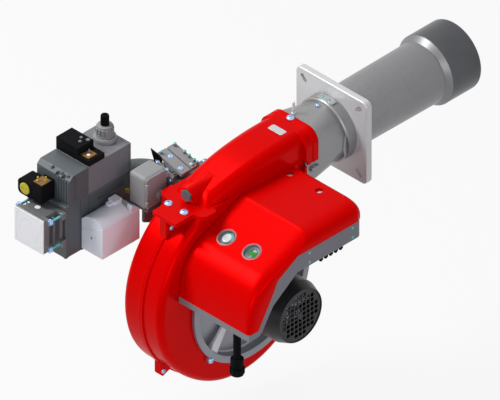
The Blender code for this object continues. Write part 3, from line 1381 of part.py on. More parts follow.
def actuator():
    width, depth, height = ACTUATOR_SIZE
    low = (-ACTUATOR_RIGHT - width, -ACTUATOR_BACK - depth, ACTUATOR_TOP - height)
    outline = rounded_box((low[1], low[2]), (low[1] + depth, low[2] + height), ACTUATOR_EDGE, 4)
    case = plate("servo_actuator", [outline], width, (low[0], 0, 0), "X")
    nipple = rod("actuator_nipple", (-ACTUATOR_RIGHT + SEAT, -NIPPLE_BACK, -NIPPLE_DROP), "X",
                 NIPPLE_ACROSS / math.sqrt(3), NIPPLE_LENGTH, sides=6)
    hole_start = (-CAM_AXIS_X, -ACTUATOR_BACK - DRIVE_DEPTH, CAM_AXIS_Z)
    cut(case, rod("drive_hole", hole_start, "Y", CAM_SHAFT_RADIUS + SHAFT_CLEAR, CUT + DRIVE_DEPTH, sides=16))
    return finish(case, "servo_grey"), finish(nipple, "servo_grey")


def actuator_bracket():
    """Mounting plate on the manifold, with shelf and gusset under the servo."""
    width, _, height = ACTUATOR_SIZE
    right = -ACTUATOR_RIGHT + GUSSET_THICK * 2
    left = -ACTUATOR_RIGHT - width
    back = -MANIFOLD_FRONT - SEAT
    under = ACTUATOR_TOP - height - SEAT
    mount = box("actuator_bracket", (left, back - BRACKET_THICK, -MANIFOLD_BOTTOM),
                (right, back, ACTUATOR_TOP - CUT))
    shelf_front = -PROVER_BACK + PROVER_LENGTH + SEAT
    join(mount, box("shelf", (left + SEAT, shelf_front, under - SHELF_THICK),
                    (-ACTUATOR_RIGHT, back - BRACKET_THICK / 2, under)))
    gusset_x = -MANIFOLD_FACE - GUSSET_THICK / 2
    front = shelf_front + GUSSET_THICK
    outline = [(back - BRACKET_THICK / 2, under - SEAT - SHELF_THICK / 2),
               (front, under - SEAT - SHELF_THICK / 2),
               (front, -MANIFOLD_BOTTOM + CUT / 2), (front + CUT, -MANIFOLD_BOTTOM + SEAT),
               (back - BRACKET_THICK / 2, -MANIFOLD_BOTTOM + SEAT)]
    join(mount, plate("gusset", [outline], GUSSET_THICK, (gusset_x, 0, 0), "X"))
    cut(mount, rod("shaft_window", (-CAM_AXIS_X, back - CUT, CAM_AXIS_Z), "Y", CAM_HUB + SHAFT_CLEAR,
                   2 * CUT, sides=20))
    return finish(mount, "valve_grey")


def cam(name, front, width):
    """Sector cam with a flat top, tilted to its rest position."""
    corner = (CAM_HALF, CAM_HEIGHT)
    hub = arc((0, 0), CAM_HUB, 200, 340, 6)
    outline = [(-CAM_HALF, CAM_HEIGHT)] + [(-CAM_HALF, CAM_HEIGHT - CAM_RIM)] + hub
    outline += [(corner[0], corner[1] - CAM_RIM), corner]
    tilt = math.radians(-CAM_TILT)
    turned_outline = [(x * math.cos(tilt) - z * math.sin(tilt), -(x * math.sin(tilt) + z * math.cos(tilt)))
                      for x, z in outline]
    made = plate(name, [turned_outline], width, (-CAM_AXIS_X, -front, CAM_AXIS_Z), "Y")
    cut(made, rod("cam_bore", (-CAM_AXIS_X, -front - CUT, CAM_AXIS_Z), "Y", CAM_SHAFT_RADIUS + SEAT,
                  width + 2 * CUT, sides=20))
    return finish(made, "motor_grey")


def cams():
    gas = cam("gas_cam", GAS_CAM_FRONT, GAS_CAM_WIDTH)
    air = cam("air_cam", AIR_CAM_FRONT, AIR_CAM_WIDTH)
    start = -ACTUATOR_BACK - DRIVE_DEPTH / 2
    end = -AIR_CAM_FRONT + AIR_CAM_WIDTH + CAM_COLLAR
    shaft = rod("cam_shaft", (-CAM_AXIS_X, start, CAM_AXIS_Z), "Y", CAM_SHAFT_RADIUS, end - start, sides=20)
    collar_start = -GAS_CAM_FRONT - CAM_COLLAR * 2
    join(shaft, rod("shaft_collar", (-CAM_AXIS_X, collar_start, CAM_AXIS_Z), "Y", CAM_HUB - SHAFT_CLEAR,
                    CAM_COLLAR * 2 - SEAT, sides=20))
    carry("cam_axis", (-CAM_AXIS_X, -GAS_CAM_FRONT, CAM_AXIS_Z), shaft, gas, air)
    return finish(shaft, "shaft_steel"), gas, air


def valve_body():
    left = -GAS_LEFT - VALVE_HALF
    right = -VALVE_RIGHT
    body = soften(box("valve_body", (left, -VALVE_FRONT, -VALVE_BOTTOM), (right, -VALVE_BACK, VALVE_SEAM)),
                  VALVE_EDGE)
    length, depth, height = VALVE_SLOT
    cut(body, box("side_slot", (right - depth, -VALVE_SLOT_BACK, -VALVE_SLOT_TOP - height),
                  (right + CUT, -VALVE_SLOT_BACK + length, -VALVE_SLOT_TOP)))
    for x, back in ((left, VALVE_FRONT), (right, VALVE_FRONT), (left, VALVE_BACK), (right, VALVE_BACK)):
        inward = VALVE_FOOT_RADIUS + 2 * VALVE_EDGE
        foot_x = x + inward if x == left else x - inward
        foot_y = -back + inward if back == VALVE_FRONT else -back - inward
        join(body, rod("foot", (foot_x, foot_y, -VALVE_BOTTOM - VALVE_FOOT_HEIGHT), "Z", VALVE_FOOT_RADIUS,
                       VALVE_FOOT_HEIGHT * 2, sides=12))
    return finish(body, "valve_grey")


def valve_front_cover():
    left = -GAS_LEFT - VALVE_HALF
    right = -VALVE_RIGHT
    low = VALVE_SEAM + SEAT
    front = -COVER_FRONT
    back = -VALVE_SPLIT - SEAT
    outline = [(front, low), (back, low), (back, VALVE_TOP), (front + COVER_SLOPE_RUN, VALVE_TOP),
               (front, VALVE_TOP - COVER_SLOPE_DROP)]
    body = plate("valve_front_cover", [outline], right - left, (left, 0, 0), "X")
    for i in range(RIB_COUNT):
        x = right - RIB_PITCH * (i + 0.5)
        join(body, box("cover_rib", (x - RIB_WIDTH / 2, front - RIB_HEIGHT, low + VALVE_EDGE),
                       (x + RIB_WIDTH / 2, front + RIB_HEIGHT, VALVE_TOP - COVER_SLOPE_DROP - VALVE_EDGE)))
    join(body, box("side_rib", (right - RIB_HEIGHT, front + COVER_SLOPE_RUN, low + VALVE_EDGE),
                   (right + RIB_HEIGHT / 2, front + COVER_SLOPE_RUN + RIB_WIDTH,
                    VALVE_TOP - COVER_SLOPE_DROP)))
    return finish(body, "valve_grey")


def coil_housing():
    left = -GAS_LEFT - VALVE_HALF
    body = box("coil_housing", (left, -VALVE_SPLIT, VALVE_SEAM + SEAT),
               (-VALVE_RIGHT, -VALVE_BACK, VALVE_TOP))
    return finish(soften(body, VALVE_EDGE), "motor_grey")


def connector_block():
    left = -GAS_LEFT - VALVE_HALF
    low = VALVE_TOP + SEAT
    front = -VALVE_SPLIT
    step_x = -VALVE_RIGHT - BLOCK_STEP_WIDTH
    outline = [(left, low), (-VALVE_RIGHT, low), (-VALVE_RIGHT, low + BLOCK_STEP_HEIGHT),
               (step_x, low + BLOCK_STEP_HEIGHT), (step_x, low + BLOCK_HEIGHT), (left, low + BLOCK_HEIGHT)]
    body = plate("connector_block", [[(x, -z) for x, z in outline]], BLOCK_DEPTH, (0, front, 0), "Y")
    return finish(soften(body, VALVE_EDGE), "black_plastic")


def flow_adjuster():
    """Base ring, ribbed knob and cap on the coil housing."""
    place = Vector((-GAS_LEFT, -ADJUSTER_BACK, VALVE_TOP + SEAT))
    base_radius, base_height = ADJUSTER_BASE
    base = finish(rod("adjuster_base", place, "Z", base_radius, base_height, sides=32), "motor_grey")
    knob_radius, knob_height = ADJUSTER_KNOB
    points = []
    for i in range(KNURL_COUNT):
        for share, radius in ((0.08, knob_radius), (0.62, knob_radius), (0.70, knob_radius - KNURL_DEPTH),
                              (0.99, knob_radius - KNURL_DEPTH)):
            turn = math.tau * (i + share) / KNURL_COUNT
            points.append((radius * math.cos(turn), radius * math.sin(turn)))
    place.z += base_height + SEAT
    knob = finish(plate("adjuster_knob", [points], knob_height, place), "motor_grey")
    cap_radius, cap_height = ADJUSTER_CAP
    place.z += knob_height + SEAT
    cap = finish(soften(rod("adjuster_cap", place, "Z", cap_radius, cap_height, sides=24), VALVE_EDGE / 2),
                 "black_plastic")
    carry("adjuster_axis", place, knob, cap)
    return base, knob, cap


def pressure_switch():
    low = VALVE_SEAM + SEAT
    back = -SWITCH_FRONT + SWITCH_DEPTH
    body = box("pressure_switch", (-SWITCH_STEP - SEAT, -SWITCH_FRONT, low),
               (-SWITCH_RIGHT, back, SWITCH_TOP))
    outline = rounded_box((-SWITCH_LEFT, -SWITCH_ROUND_TOP), (-SWITCH_STEP + SEAT, -low), SWITCH_ROUND_EDGE,
                          4)
    join(body, plate("switch_chamber", [outline], SWITCH_DEPTH - 2 * SEAT, (0, -SWITCH_FRONT + SEAT, 0), "Y"))
    cut(body, rod("dial_hole", (-DIAL_X, -SWITCH_FRONT - CUT, DIAL_Z), "Y", DIAL_SHAFT + SEAT, 2 * CUT,
                  sides=16))
    start = -SWITCH_FRONT - DIAL_HEIGHT
    dial = rod("switch_dial", (-DIAL_X, start, DIAL_Z), "Y", DIAL_RADIUS, DIAL_HEIGHT - SEAT, sides=32)
    join(dial, rod("dial_shaft", (-DIAL_X, start + DIAL_HEIGHT / 2, DIAL_Z), "Y", DIAL_SHAFT, CUT / 2,
                   sides=16))
    width, depth, length = DIAL_SLOT
    cut(dial, box("dial_slot", (-DIAL_X - width / 2, start - CUT, DIAL_Z - length / 2),
                  (-DIAL_X + width / 2, start + depth, DIAL_Z + length / 2)))
    carry("dial_axis", (-DIAL_X, -SWITCH_FRONT, DIAL_Z), dial)
    return finish(body, "black_plastic"), finish(dial, "yellow_dial")


def inlet_port():
    """Inlet flange block with side grooves, and the plate on its face."""
    half = PORT_SIDE / 2
    back = -VALVE_FRONT - SEAT
    front = -PORT_BACK + SEAT
    body = box("inlet_flange", (-PORT_LEFT, front, -GAS_DROP - half), (-PORT_RIGHT, back, -GAS_DROP + half))
    for low_x in (-PORT_LEFT - CUT, -PORT_RIGHT - PORT_GROOVE_REACH):
        cut(body, box("side_groove", (low_x, -PORT_GROOVE_FRONT, -GAS_DROP - half - CUT),
                      (low_x + CUT + PORT_GROOVE_REACH, -PORT_GROOVE_FRONT + PORT_GROOVE_LENGTH,
                       -GAS_DROP + half - PORT_PLATE)))
    face = box("inlet_plate", (-PORT_LEFT, -PORT_BACK - PORT_PLATE, -GAS_DROP - half),
               (-PORT_RIGHT, -PORT_BACK, -GAS_DROP + half))
    groove = turned("plate_groove", (-GAS_LEFT, -PORT_BACK - PORT_PLATE - CUT, -GAS_DROP), "Y", [
        (PORT_RING, 0), (PORT_RING, CUT + PORT_RING_DEPTH),
        (PORT_RING + PORT_RING_WIDTH, CUT + PORT_RING_DEPTH),
        (PORT_RING + PORT_RING_WIDTH, 0)], sides=32)
    cut(face, groove)
    return finish(body, "motor_grey"), finish(face, "white_plastic")


def valve_prover():
    """White tightness-test unit with its bulged top."""
    left = -PROVER_LEFT
    right = left + PROVER_WIDTH
    front = -PROVER_BACK
    back = front + PROVER_LENGTH
    bulge = []
    for i in range(9):
        share = i / 8
        rise = PROVER_BULGE * math.sin(math.pi * share)
        bulge.append((left + PROVER_WIDTH * share, -PROVER_SHOULDER + rise))
    outline = [(left, -PROVER_BOTTOM)] + bulge + [(right, -PROVER_BOTTOM)]
    body = plate("valve_prover", [[(x, -z) for x, z in outline]], PROVER_LENGTH - PROVER_REAR,
                 (0, front, 0), "Y")
    join(body, box("prover_rear", (left, back - PROVER_REAR - SEAT, -PROVER_BOTTOM),
                   (right, back, -PROVER_SHOULDER)))
    width, depth, height = PROVER_NUB
    nub_y = back - PROVER_NUB_AHEAD
    join(body, box("prover_nub", (left + PROVER_NUB_LEFT, nub_y, -PROVER_SHOULDER - SEAT),
                   (left + PROVER_NUB_LEFT + width, nub_y + depth, -PROVER_SHOULDER + PROVER_BULGE + height)))
    return finish(body, "white_plastic")


def test_point():
    place = (-VALVE_RIGHT + SEAT, -TEST_BACK, -TEST_DROP)
    return finish(rod("test_point", place, "X", TEST_RADIUS, TEST_LENGTH, TEST_RADIUS * 0.7, sides=12),
                  "brass")


def gas_chamber():
    """Fixed chamber on the axis, fed from the side port, with the lance's guide."""
    back = -CHAMBER_BACK
    body = rod("gas_chamber", (0, back, -CHAMBER_DROP), "Y", CHAMBER_RADIUS, CHAMBER_LENGTH, sides=16)
    join(body, rod("spout", (-SCROLL_HALF, -ENTRY_BACK, -GAS_DROP), "X", SPOUT_RADIUS, SCROLL_HALF, sides=16))
    join(body, rod("spout_rim", (-SCROLL_HALF, -ENTRY_BACK, -GAS_DROP), "X", WALL_PORT - SEAT,
                   SCROLL_WALL, sides=20))
    guide_start = back + CHAMBER_LENGTH - GUIDE_WALL
    join(body, rod("guide", (0, guide_start, 0), "Y", LANCE_RADIUS + SEAT + GUIDE_WALL, GUIDE_LENGTH,
                   sides=16))
    cut(body, rod("chamber_room", (0, back + GUIDE_WALL, -CHAMBER_DROP), "Y", CHAMBER_RADIUS - GUIDE_WALL,
                  CHAMBER_LENGTH - 2 * GUIDE_WALL, sides=16))
    cut(body, rod("spout_bore", (-SCROLL_HALF - CUT, -ENTRY_BACK, -GAS_DROP), "X", SPOUT_RADIUS - GUIDE_WALL,
                  SCROLL_HALF + CUT, sides=16))
    cut(body, rod("guide_bore", (0, guide_start - CUT, 0), "Y", LANCE_RADIUS + SEAT, GUIDE_LENGTH + 2 * CUT,
                  sides=24))
    return finish(body, "cast_grey")


def combustion_head():
    """Sliding lance with diffuser, nozzle, clamp and electrodes."""
    inner = LANCE_RADIUS - LANCE_WALL
    lance = turned("gas_lance", (0, -LANCE_BACK, 0), "Y", [
        (inner, 0), (LANCE_RADIUS, 0), (LANCE_RADIUS, LANCE_END + LANCE_BACK),
        (inner, LANCE_END + LANCE_BACK)],
        sides=24)
    head = turned("diffuser_disc", (0, LANCE_END - DIFFUSER_SKIRT, 0), "Y", [
        (LANCE_RADIUS + SEAT, 0), (LANCE_RADIUS + SEAT, DIFFUSER_SKIRT),
        (DIFFUSER_RADIUS - DIFFUSER_THICK, DIFFUSER_SKIRT),
        (DIFFUSER_RADIUS, DIFFUSER_SKIRT - DIFFUSER_THICK), (DIFFUSER_RADIUS, 0),
        (DIFFUSER_RADIUS - DIFFUSER_THICK, 0),
        (DIFFUSER_RADIUS - DIFFUSER_THICK, DIFFUSER_SKIRT - DIFFUSER_THICK),
        (LANCE_RADIUS + SEAT + DIFFUSER_THICK, DIFFUSER_SKIRT - DIFFUSER_THICK),
        (LANCE_RADIUS + SEAT + DIFFUSER_THICK, 0)], sides=24)
    length, width = DIFFUSER_SLOT
    radius = (LANCE_RADIUS + DIFFUSER_RADIUS) / 2
    slots = []
    for i in range(DIFFUSER_SLOTS):
        angle = 360 * i / DIFFUSER_SLOTS + 180 / DIFFUSER_SLOTS
        turn = math.radians(angle)
        outline = slot((radius * math.cos(turn), radius * math.sin(turn)), length, width,
                       angle + DAMPER_REST, 2)
        slots.append(plate("slot", [outline], 2 * DIFFUSER_SKIRT, (0, LANCE_END - DIFFUSER_SKIRT / 2, 0),
                           "Y"))
    cut(head, merged("diffuser_slots", slots))
    cut(head, merged("electrode_holes", [
        rod("electrode_hole", (side * ROD_OFFSET, LANCE_END - CUT, 0), "Y", DIFFUSER_HOLE, 2 * CUT, sides=12)
        for side in (1, -1)]))
    nozzle = turned("gas_nozzle", (0, LANCE_END + SEAT, 0), "Y", [
        (0, 0), (LANCE_RADIUS, 0), (LANCE_RADIUS, NOZZLE_LENGTH / 3), (NOZZLE_RADIUS, NOZZLE_LENGTH),
        (0, NOZZLE_LENGTH)],
        sides=24)
    ports = []
    for i in range(NOZZLE_PORTS):
        turn = math.tau * i / NOZZLE_PORTS
        place = (NOZZLE_RADIUS * 0.62 * math.cos(turn), LANCE_END + NOZZLE_LENGTH / 2,
                 NOZZLE_RADIUS * 0.62 * math.sin(turn))
        ports.append(rod("port", place, "Y", NOZZLE_PORT, NOZZLE_LENGTH, sides=6))
    cut(nozzle, merged("nozzle_ports", ports))
    return finish(lance, "tube_steel"), finish(head, "shaft_steel"), finish(nozzle, "shaft_steel")


def electrodes():
    """Clamp on the lance with the ignition electrode and the flame probe."""
    clamp = rod("electrode_clamp", (0, CLAMP_PLACE, 0), "Y", LANCE_RADIUS + SEAT + CLAMP_WALL, CLAMP_LENGTH,
                sides=14)
    sides = (("ignition_electrode", 1), ("flame_probe", -1))
    rods = []
    for name, side in sides:
        ear_inner = side * (LANCE_RADIUS + CLAMP_WALL / 2)
        ear_outer = side * (ROD_OFFSET + ROD_RADIUS + CLAMP_WALL)
        join(clamp, box("ear", (min(ear_inner, ear_outer), CLAMP_PLACE + SEAT, -ROD_RADIUS - CLAMP_WALL / 2),
                        (max(ear_inner, ear_outer), CLAMP_PLACE + CLAMP_LENGTH - SEAT,
                         ROD_RADIUS + CLAMP_WALL / 2)))
        cut(clamp, rod("ear_hole", (side * ROD_OFFSET, CLAMP_PLACE - CUT, 0), "Y", ROD_RADIUS + SEAT,
                       3 * CUT, sides=16))
        start = LANCE_END - DIFFUSER_SKIRT - ROD_LENGTH - PROBE_LENGTH / 4
        ceramic = rod(name, (side * ROD_OFFSET, start, 0), "Y", ROD_RADIUS, ROD_LENGTH, sides=16)
        join(ceramic, rod("tip", (side * ROD_OFFSET, start + ROD_LENGTH - PROBE_RADIUS, 0), "Y", PROBE_RADIUS,
                          PROBE_LENGTH, sides=8))
        rods.append(finish(ceramic, "ceramic"))
    cut(clamp, rod("clamp_bore", (0, CLAMP_PLACE - CUT, 0), "Y", LANCE_RADIUS + SEAT, 3 * CUT, sides=24))
    return [finish(clamp, "shaft_steel")] + rods


def air_damper():
    """Flap on a cross shaft in the casing's throat, with its lever outside."""
    place = Vector((0, -DAMPER_BACK, -DAMPER_DROP))
    start = -SCROLL_HALF - DAMPER_LEVER / 2
    shaft = rod("air_damper", (start, place.y, place.z), "X", DAMPER_SHAFT, DAMPER_HALF - start, sides=16)
    flap = box("flap", (-DAMPER_HALF, -DAMPER_THICK / 2, -DAMPER_CHORD / 2),
               (DAMPER_HALF - SEAT, DAMPER_THICK / 2, DAMPER_CHORD / 2))
    flap.matrix_world = Matrix.Translation(place) @ Matrix.Rotation(math.radians(DAMPER_REST), 4, "X")
    join(shaft, flap)
    lever = box("damper_lever", (start, -DAMPER_SHAFT, 0), (start + DAMPER_SHAFT, DAMPER_SHAFT, DAMPER_LEVER))
    lever.matrix_world = (Matrix.Translation(place) @ Matrix.Rotation(math.radians(DAMPER_REST), 4, "X")
                          @ lever.matrix_world)
    join(shaft, lever)
    carry("damper_axis", place, shaft)
    return finish(shaft, "shaft_steel")


def build_head():
    boiler_flange()
    blast_tube()
    tube_end_sleeve()
    cast_head_body()
    scroll_halves()
    head_cover()
    sight_plug()


def build_fan():
    inlet_ring()
    motor_spider()
    motor_body()
    motor_fan_cover()
    fan_grille()
    terminal_box()
    shaft = motor_shaft()
    wheel = impeller()
    cooler = cooling_fan()
    carry("fan_axis", FAN, shaft, wheel, cooler)


def build_panel():
    panel_base()
    panel_cover()
    bezel("reset_bezel", 0)
    bezel("run_lamp_bezel", 1)
    reset, _ = lamp_faces()
    carry("reset_axis", lamp_matrix(0, 0).translation, reset)
    panel_contents()
    conduit()
    connector_row()


def build_gas_train():
    gas_manifold()
    butterfly_valve()
    gas_elbow()
    actuator()
    actuator_bracket()
    cams()
    valve_body()
    valve_front_cover()
    coil_housing()
    connector_block()
    flow_adjuster()
    pressure_switch()
    inlet_port()
    valve_prover()
    test_point()


def build_inside():
    gas_chamber()
    lance, diffuser, nozzle = combustion_head()
    clamp, spark, probe = electrodes()
    carry("lance_slide", (0, LANCE_END, 0), lance, diffuser, nozzle, clamp, spark, probe)
    air_damper()


build_head()
build_fan()
build_panel()
build_gas_train()
build_inside()
bpy.context.view_layer.update()
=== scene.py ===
"""Looks of the gas burner, in metres, in the frame of its CAD: +Y into the boiler, +X to the motor, +Z up.

Shapes are drawn in millimetres and brought to metres as each piece is finished.
"""

import math

import bmesh
import bpy
from mathutils import Matrix, Vector


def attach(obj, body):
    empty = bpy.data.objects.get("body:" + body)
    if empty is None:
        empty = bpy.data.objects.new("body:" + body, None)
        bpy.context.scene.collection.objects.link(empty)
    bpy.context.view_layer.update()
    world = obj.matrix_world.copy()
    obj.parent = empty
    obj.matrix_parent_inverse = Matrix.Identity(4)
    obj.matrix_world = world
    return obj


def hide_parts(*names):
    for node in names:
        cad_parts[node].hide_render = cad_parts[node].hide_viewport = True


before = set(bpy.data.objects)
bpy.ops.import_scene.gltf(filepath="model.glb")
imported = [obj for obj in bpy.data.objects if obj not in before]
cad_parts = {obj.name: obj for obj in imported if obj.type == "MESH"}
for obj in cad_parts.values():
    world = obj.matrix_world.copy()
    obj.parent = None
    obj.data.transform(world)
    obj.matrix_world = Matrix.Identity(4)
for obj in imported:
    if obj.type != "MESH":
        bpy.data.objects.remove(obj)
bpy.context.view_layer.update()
scene = bpy.context.scene
ROOT = "burner_frame"
FLOOR_LEVEL = -0.78
LAMP_TARGET = (-0.05, -0.35, -0.15)
MILLIMETRE = 0.001
FAN = Vector((0, -454, -338))
GAS_AXIS = (-519, -58)
DIAGONALS = (45, 135, 225, 315)


# Node trees

def fill(node, values):
    """Values for a node's inputs, by their names or numbers."""
    for key, value in values.items():
        node.inputs[key].default_value = value
    return node


def add(tree, kind, values=(), **settings):
    """New node with its settings and the values of its inputs."""
    node = tree.nodes.new(kind)
    for key, value in settings.items():
        setattr(node, key, value)
    return fill(node, dict(values))


def wire(tree, *links):
    """Links, each written as a node, its output, the next node and its input."""
    for source, output, target, entry in links:
        tree.links.new(source.outputs[output], target.inputs[entry])


# Camera, floor and light

def aim(obj, target):
    obj.rotation_euler = (Vector(target) - obj.location).to_track_quat("-Z", "Y").to_euler()


def set_camera():
    """Level isometric view of the photograph, 332 pixels to the metre."""
    turn, rise = math.radians(44.74), math.radians(35.264)
    right = Vector((math.cos(turn), math.sin(turn), 0))
    up = Vector((-math.sin(turn) * math.sin(rise), math.cos(turn) * math.sin(rise), math.cos(rise)))
    back = right.cross(up)
    centre = right * -0.2614 + up * -0.23435
    data = bpy.data.cameras.new("photo_camera")
    data.type = "ORTHO"
    data.ortho_scale = 1.5047
    data.clip_end = 40
    camera = bpy.data.objects.new("photo_camera", data)
    camera.matrix_world = Matrix.Translation(centre + back * 5) @ Matrix((right, up, back)).transposed().to_4x4()
    scene.collection.objects.link(camera)
    scene.camera = camera


def soft_lamp(name, place, size, power, colour=(1, 1, 1)):
    data = bpy.data.lights.new(name, "AREA")
    data.shape = "DISK"
    data.size = size
    data.energy = power
    data.color = colour
    lamp = bpy.data.objects.new(name, data)
    lamp.location = place
    aim(lamp, LAMP_TARGET)
    scene.collection.objects.link(lamp)


def seen_ray(tree):
    """Node that gives 1 for rays from the camera, or off metal and glass."""
    path = add(tree, "ShaderNodeLightPath")
    first, second = [add(tree, "ShaderNodeMath", operation="MAXIMUM") for _ in range(2)]
    wire(tree, (path, "Is Camera Ray", first, 0), (path, "Is Glossy Ray", first, 1), (first, 0, second, 0),
         (path, "Is Transmission Ray", second, 1))
    return second


def mix_shaders(tree, share, first, second, out):
    mix = add(tree, "ShaderNodeMixShader")
    wire(tree, (share, 0, mix, "Fac"), (first, 0, mix, 1), (second, 0, mix, 2), (mix, 0, out, "Surface"))


def set_studio():
    """Pale floor, white seen behind, and four soft lamps."""
    scene.view_settings.view_transform = "Standard"
    world = bpy.data.worlds.new("studio")
    scene.world = world
    world.use_nodes = True
    tree = world.node_tree
    tree.nodes.clear()
    soft = add(tree, "ShaderNodeBackground", {"Color": (0.93, 0.94, 1.0, 1), "Strength": 0.27})
    white = add(tree, "ShaderNodeBackground", {"Color": (1, 1, 1, 1), "Strength": 1.0})
    mix_shaders(tree, seen_ray(tree), soft, white, add(tree, "ShaderNodeOutputWorld"))
    soft_lamp("key_lamp", (-2.4, -2.3, 3.3), 1.9, 165)
    soft_lamp("side_lamp", (3.8, -0.6, 1.0), 2.0, 20, (0.90, 0.88, 1.0))
    soft_lamp("front_lamp", (2.0, -3.2, 0.7), 1.8, 22, (0.92, 0.93, 1.0))
    soft_lamp("top_lamp", (-2.2, 0.4, 3.6), 1.2, 24)
    builder = bmesh.new()
    bmesh.ops.create_grid(builder, x_segments=1, y_segments=1, size=9)
    mesh = bpy.data.meshes.new("floor")
    builder.to_mesh(mesh)
    builder.free()
    floor = bpy.data.objects.new("floor", mesh)
    floor.location = (0, 0, FLOOR_LEVEL)
    scene.collection.objects.link(floor)
    material = bpy.data.materials.new("pale_floor")
    material.use_nodes = True
    tree = material.node_tree
    shader = fill(tree.nodes["Principled BSDF"],
                  {"Base Color": (0.62, 0.62, 0.63, 1), "Roughness": 0.9, "Specular IOR Level": 0.0})
    glow = add(tree, "ShaderNodeEmission", {"Strength": 1.0})
    share = add(tree, "ShaderNodeMath", {1: 0.90}, operation="MULTIPLY")
    wire(tree, (seen_ray(tree), 0, share, 0))
    mix_shaders(tree, share, shader, glow, tree.nodes["Material Output"])
    mesh.materials.append(material)


# Shader groups shared by the finishes

def shader_group(name, inputs, outputs):
    """Group with named outputs, and inputs whose kinds follow from their values."""
    tree = bpy.data.node_groups.new(name, "ShaderNodeTree")
    kinds = {4: "NodeSocketColor", 3: "NodeSocketVector", 1: "NodeSocketFloat"}
    for label, value in inputs.items():
        kind = kinds[len(value) if isinstance(value, tuple) else 1]
        tree.interface.new_socket(name=label, in_out="INPUT", socket_type=kind).default_value = value
    for label, kind in outputs.items():
        tree.interface.new_socket(name=label, in_out="OUTPUT", socket_type=kind)
    return tree, add(tree, "NodeGroupInput"), add(tree, "NodeGroupOutput")


def make_mottle():
    """Slow change of colour and gloss over a surface."""
    inputs = {"Colour": (0.5, 0.5, 0.5, 1), "Second Colour": (0.4, 0.4, 0.4, 1), "Patch Scale": 9.0,
              "Roughness": 0.4, "Roughness Spread": 0.08}
    tree, given, out = shader_group("surface mottle", inputs,
                                    {"Colour": "NodeSocketColor", "Roughness": "NodeSocketFloat"})
    place = add(tree, "ShaderNodeTexCoord")
    noise = add(tree, "ShaderNodeTexNoise", {"Detail": 5.0})
    mix = add(tree, "ShaderNodeMix", data_type="RGBA")
    centred = add(tree, "ShaderNodeMath", {1: 0.5}, operation="SUBTRACT")
    spread = add(tree, "ShaderNodeMath", operation="MULTIPLY_ADD")
    wire(tree, (place, "Object", noise, "Vector"), (given, "Patch Scale", noise, "Scale"), (noise, "Fac", mix, 0),
         (given, "Colour", mix, 6), (given, "Second Colour", mix, 7), (noise, "Fac", centred, 0),
         (centred, 0, spread, 0), (given, "Roughness Spread", spread, 1), (given, "Roughness", spread, 2),
         (mix, 2, out, "Colour"), (spread, 0, out, "Roughness"))
    return tree


def make_worn_edge():
    """Paler, worn edges by the bend of the surface, broken up by noise."""
    tree, given, out = shader_group("worn edge", {"Colour": (0.5, 0.5, 0.5, 1), "Edge Colour": (0.7, 0.7, 0.7, 1),
                                                  "Amount": 0.4, "Start": 0.53, "End": 0.62},
                                    {"Colour": "NodeSocketColor", "Mask": "NodeSocketFloat"})
    bend = add(tree, "ShaderNodeNewGeometry")
    reach = add(tree, "ShaderNodeMapRange")
    place = add(tree, "ShaderNodeTexCoord")
    noise = add(tree, "ShaderNodeTexNoise", {"Scale": 70.0, "Detail": 4.0})
    broken, scaled = [add(tree, "ShaderNodeMath", operation="MULTIPLY") for _ in range(2)]
    mix = add(tree, "ShaderNodeMix", data_type="RGBA")
    wire(tree, (bend, "Pointiness", reach, "Value"), (given, "Start", reach, "From Min"),
         (given, "End", reach, "From Max"), (place, "Object", noise, "Vector"), (reach, 0, broken, 0),
         (noise, "Fac", broken, 1), (broken, 0, scaled, 0), (given, "Amount", scaled, 1), (scaled, 0, mix, 0),
         (given, "Colour", mix, 6), (given, "Edge Colour", mix, 7), (mix, 2, out, "Colour"), (scaled, 0, out, "Mask"))
    return tree


def make_grain():
    """Height of a fine cast, moulded or sprayed grain, stretched along an axis where it is drawn or turned."""
    tree, given, out = shader_group("fine grain", {"Grain Scale": 400.0, "Stretch": (1, 1, 1), "Pits": 0.0},
                                    {"Height": "NodeSocketFloat"})
    place = add(tree, "ShaderNodeTexCoord")
    stretch = add(tree, "ShaderNodeVectorMath", operation="MULTIPLY")
    noise = add(tree, "ShaderNodeTexNoise", {"Detail": 3.0})
    pits = add(tree, "ShaderNodeTexVoronoi")
    depth = add(tree, "ShaderNodeMath", operation="MULTIPLY_ADD")
    wire(tree, (place, "Object", stretch, 0), (given, "Stretch", stretch, 1), (stretch, 0, noise, "Vector"),
         (stretch, 0, pits, "Vector"), (given, "Grain Scale", noise, "Scale"), (given, "Grain Scale", pits, "Scale"),
         (pits, "Distance", depth, 0), (given, "Pits", depth, 1), (noise, "Fac", depth, 2), (depth, 0, out, "Height"))
    return tree


MOTTLE = make_mottle()
WORN_EDGE = make_worn_edge()
GRAIN = make_grain()


def tone(value):
    """Colour with its fourth value, from three values or from one grey."""
    return (*value, 1) if isinstance(value, tuple) else (value, value, value, 1)


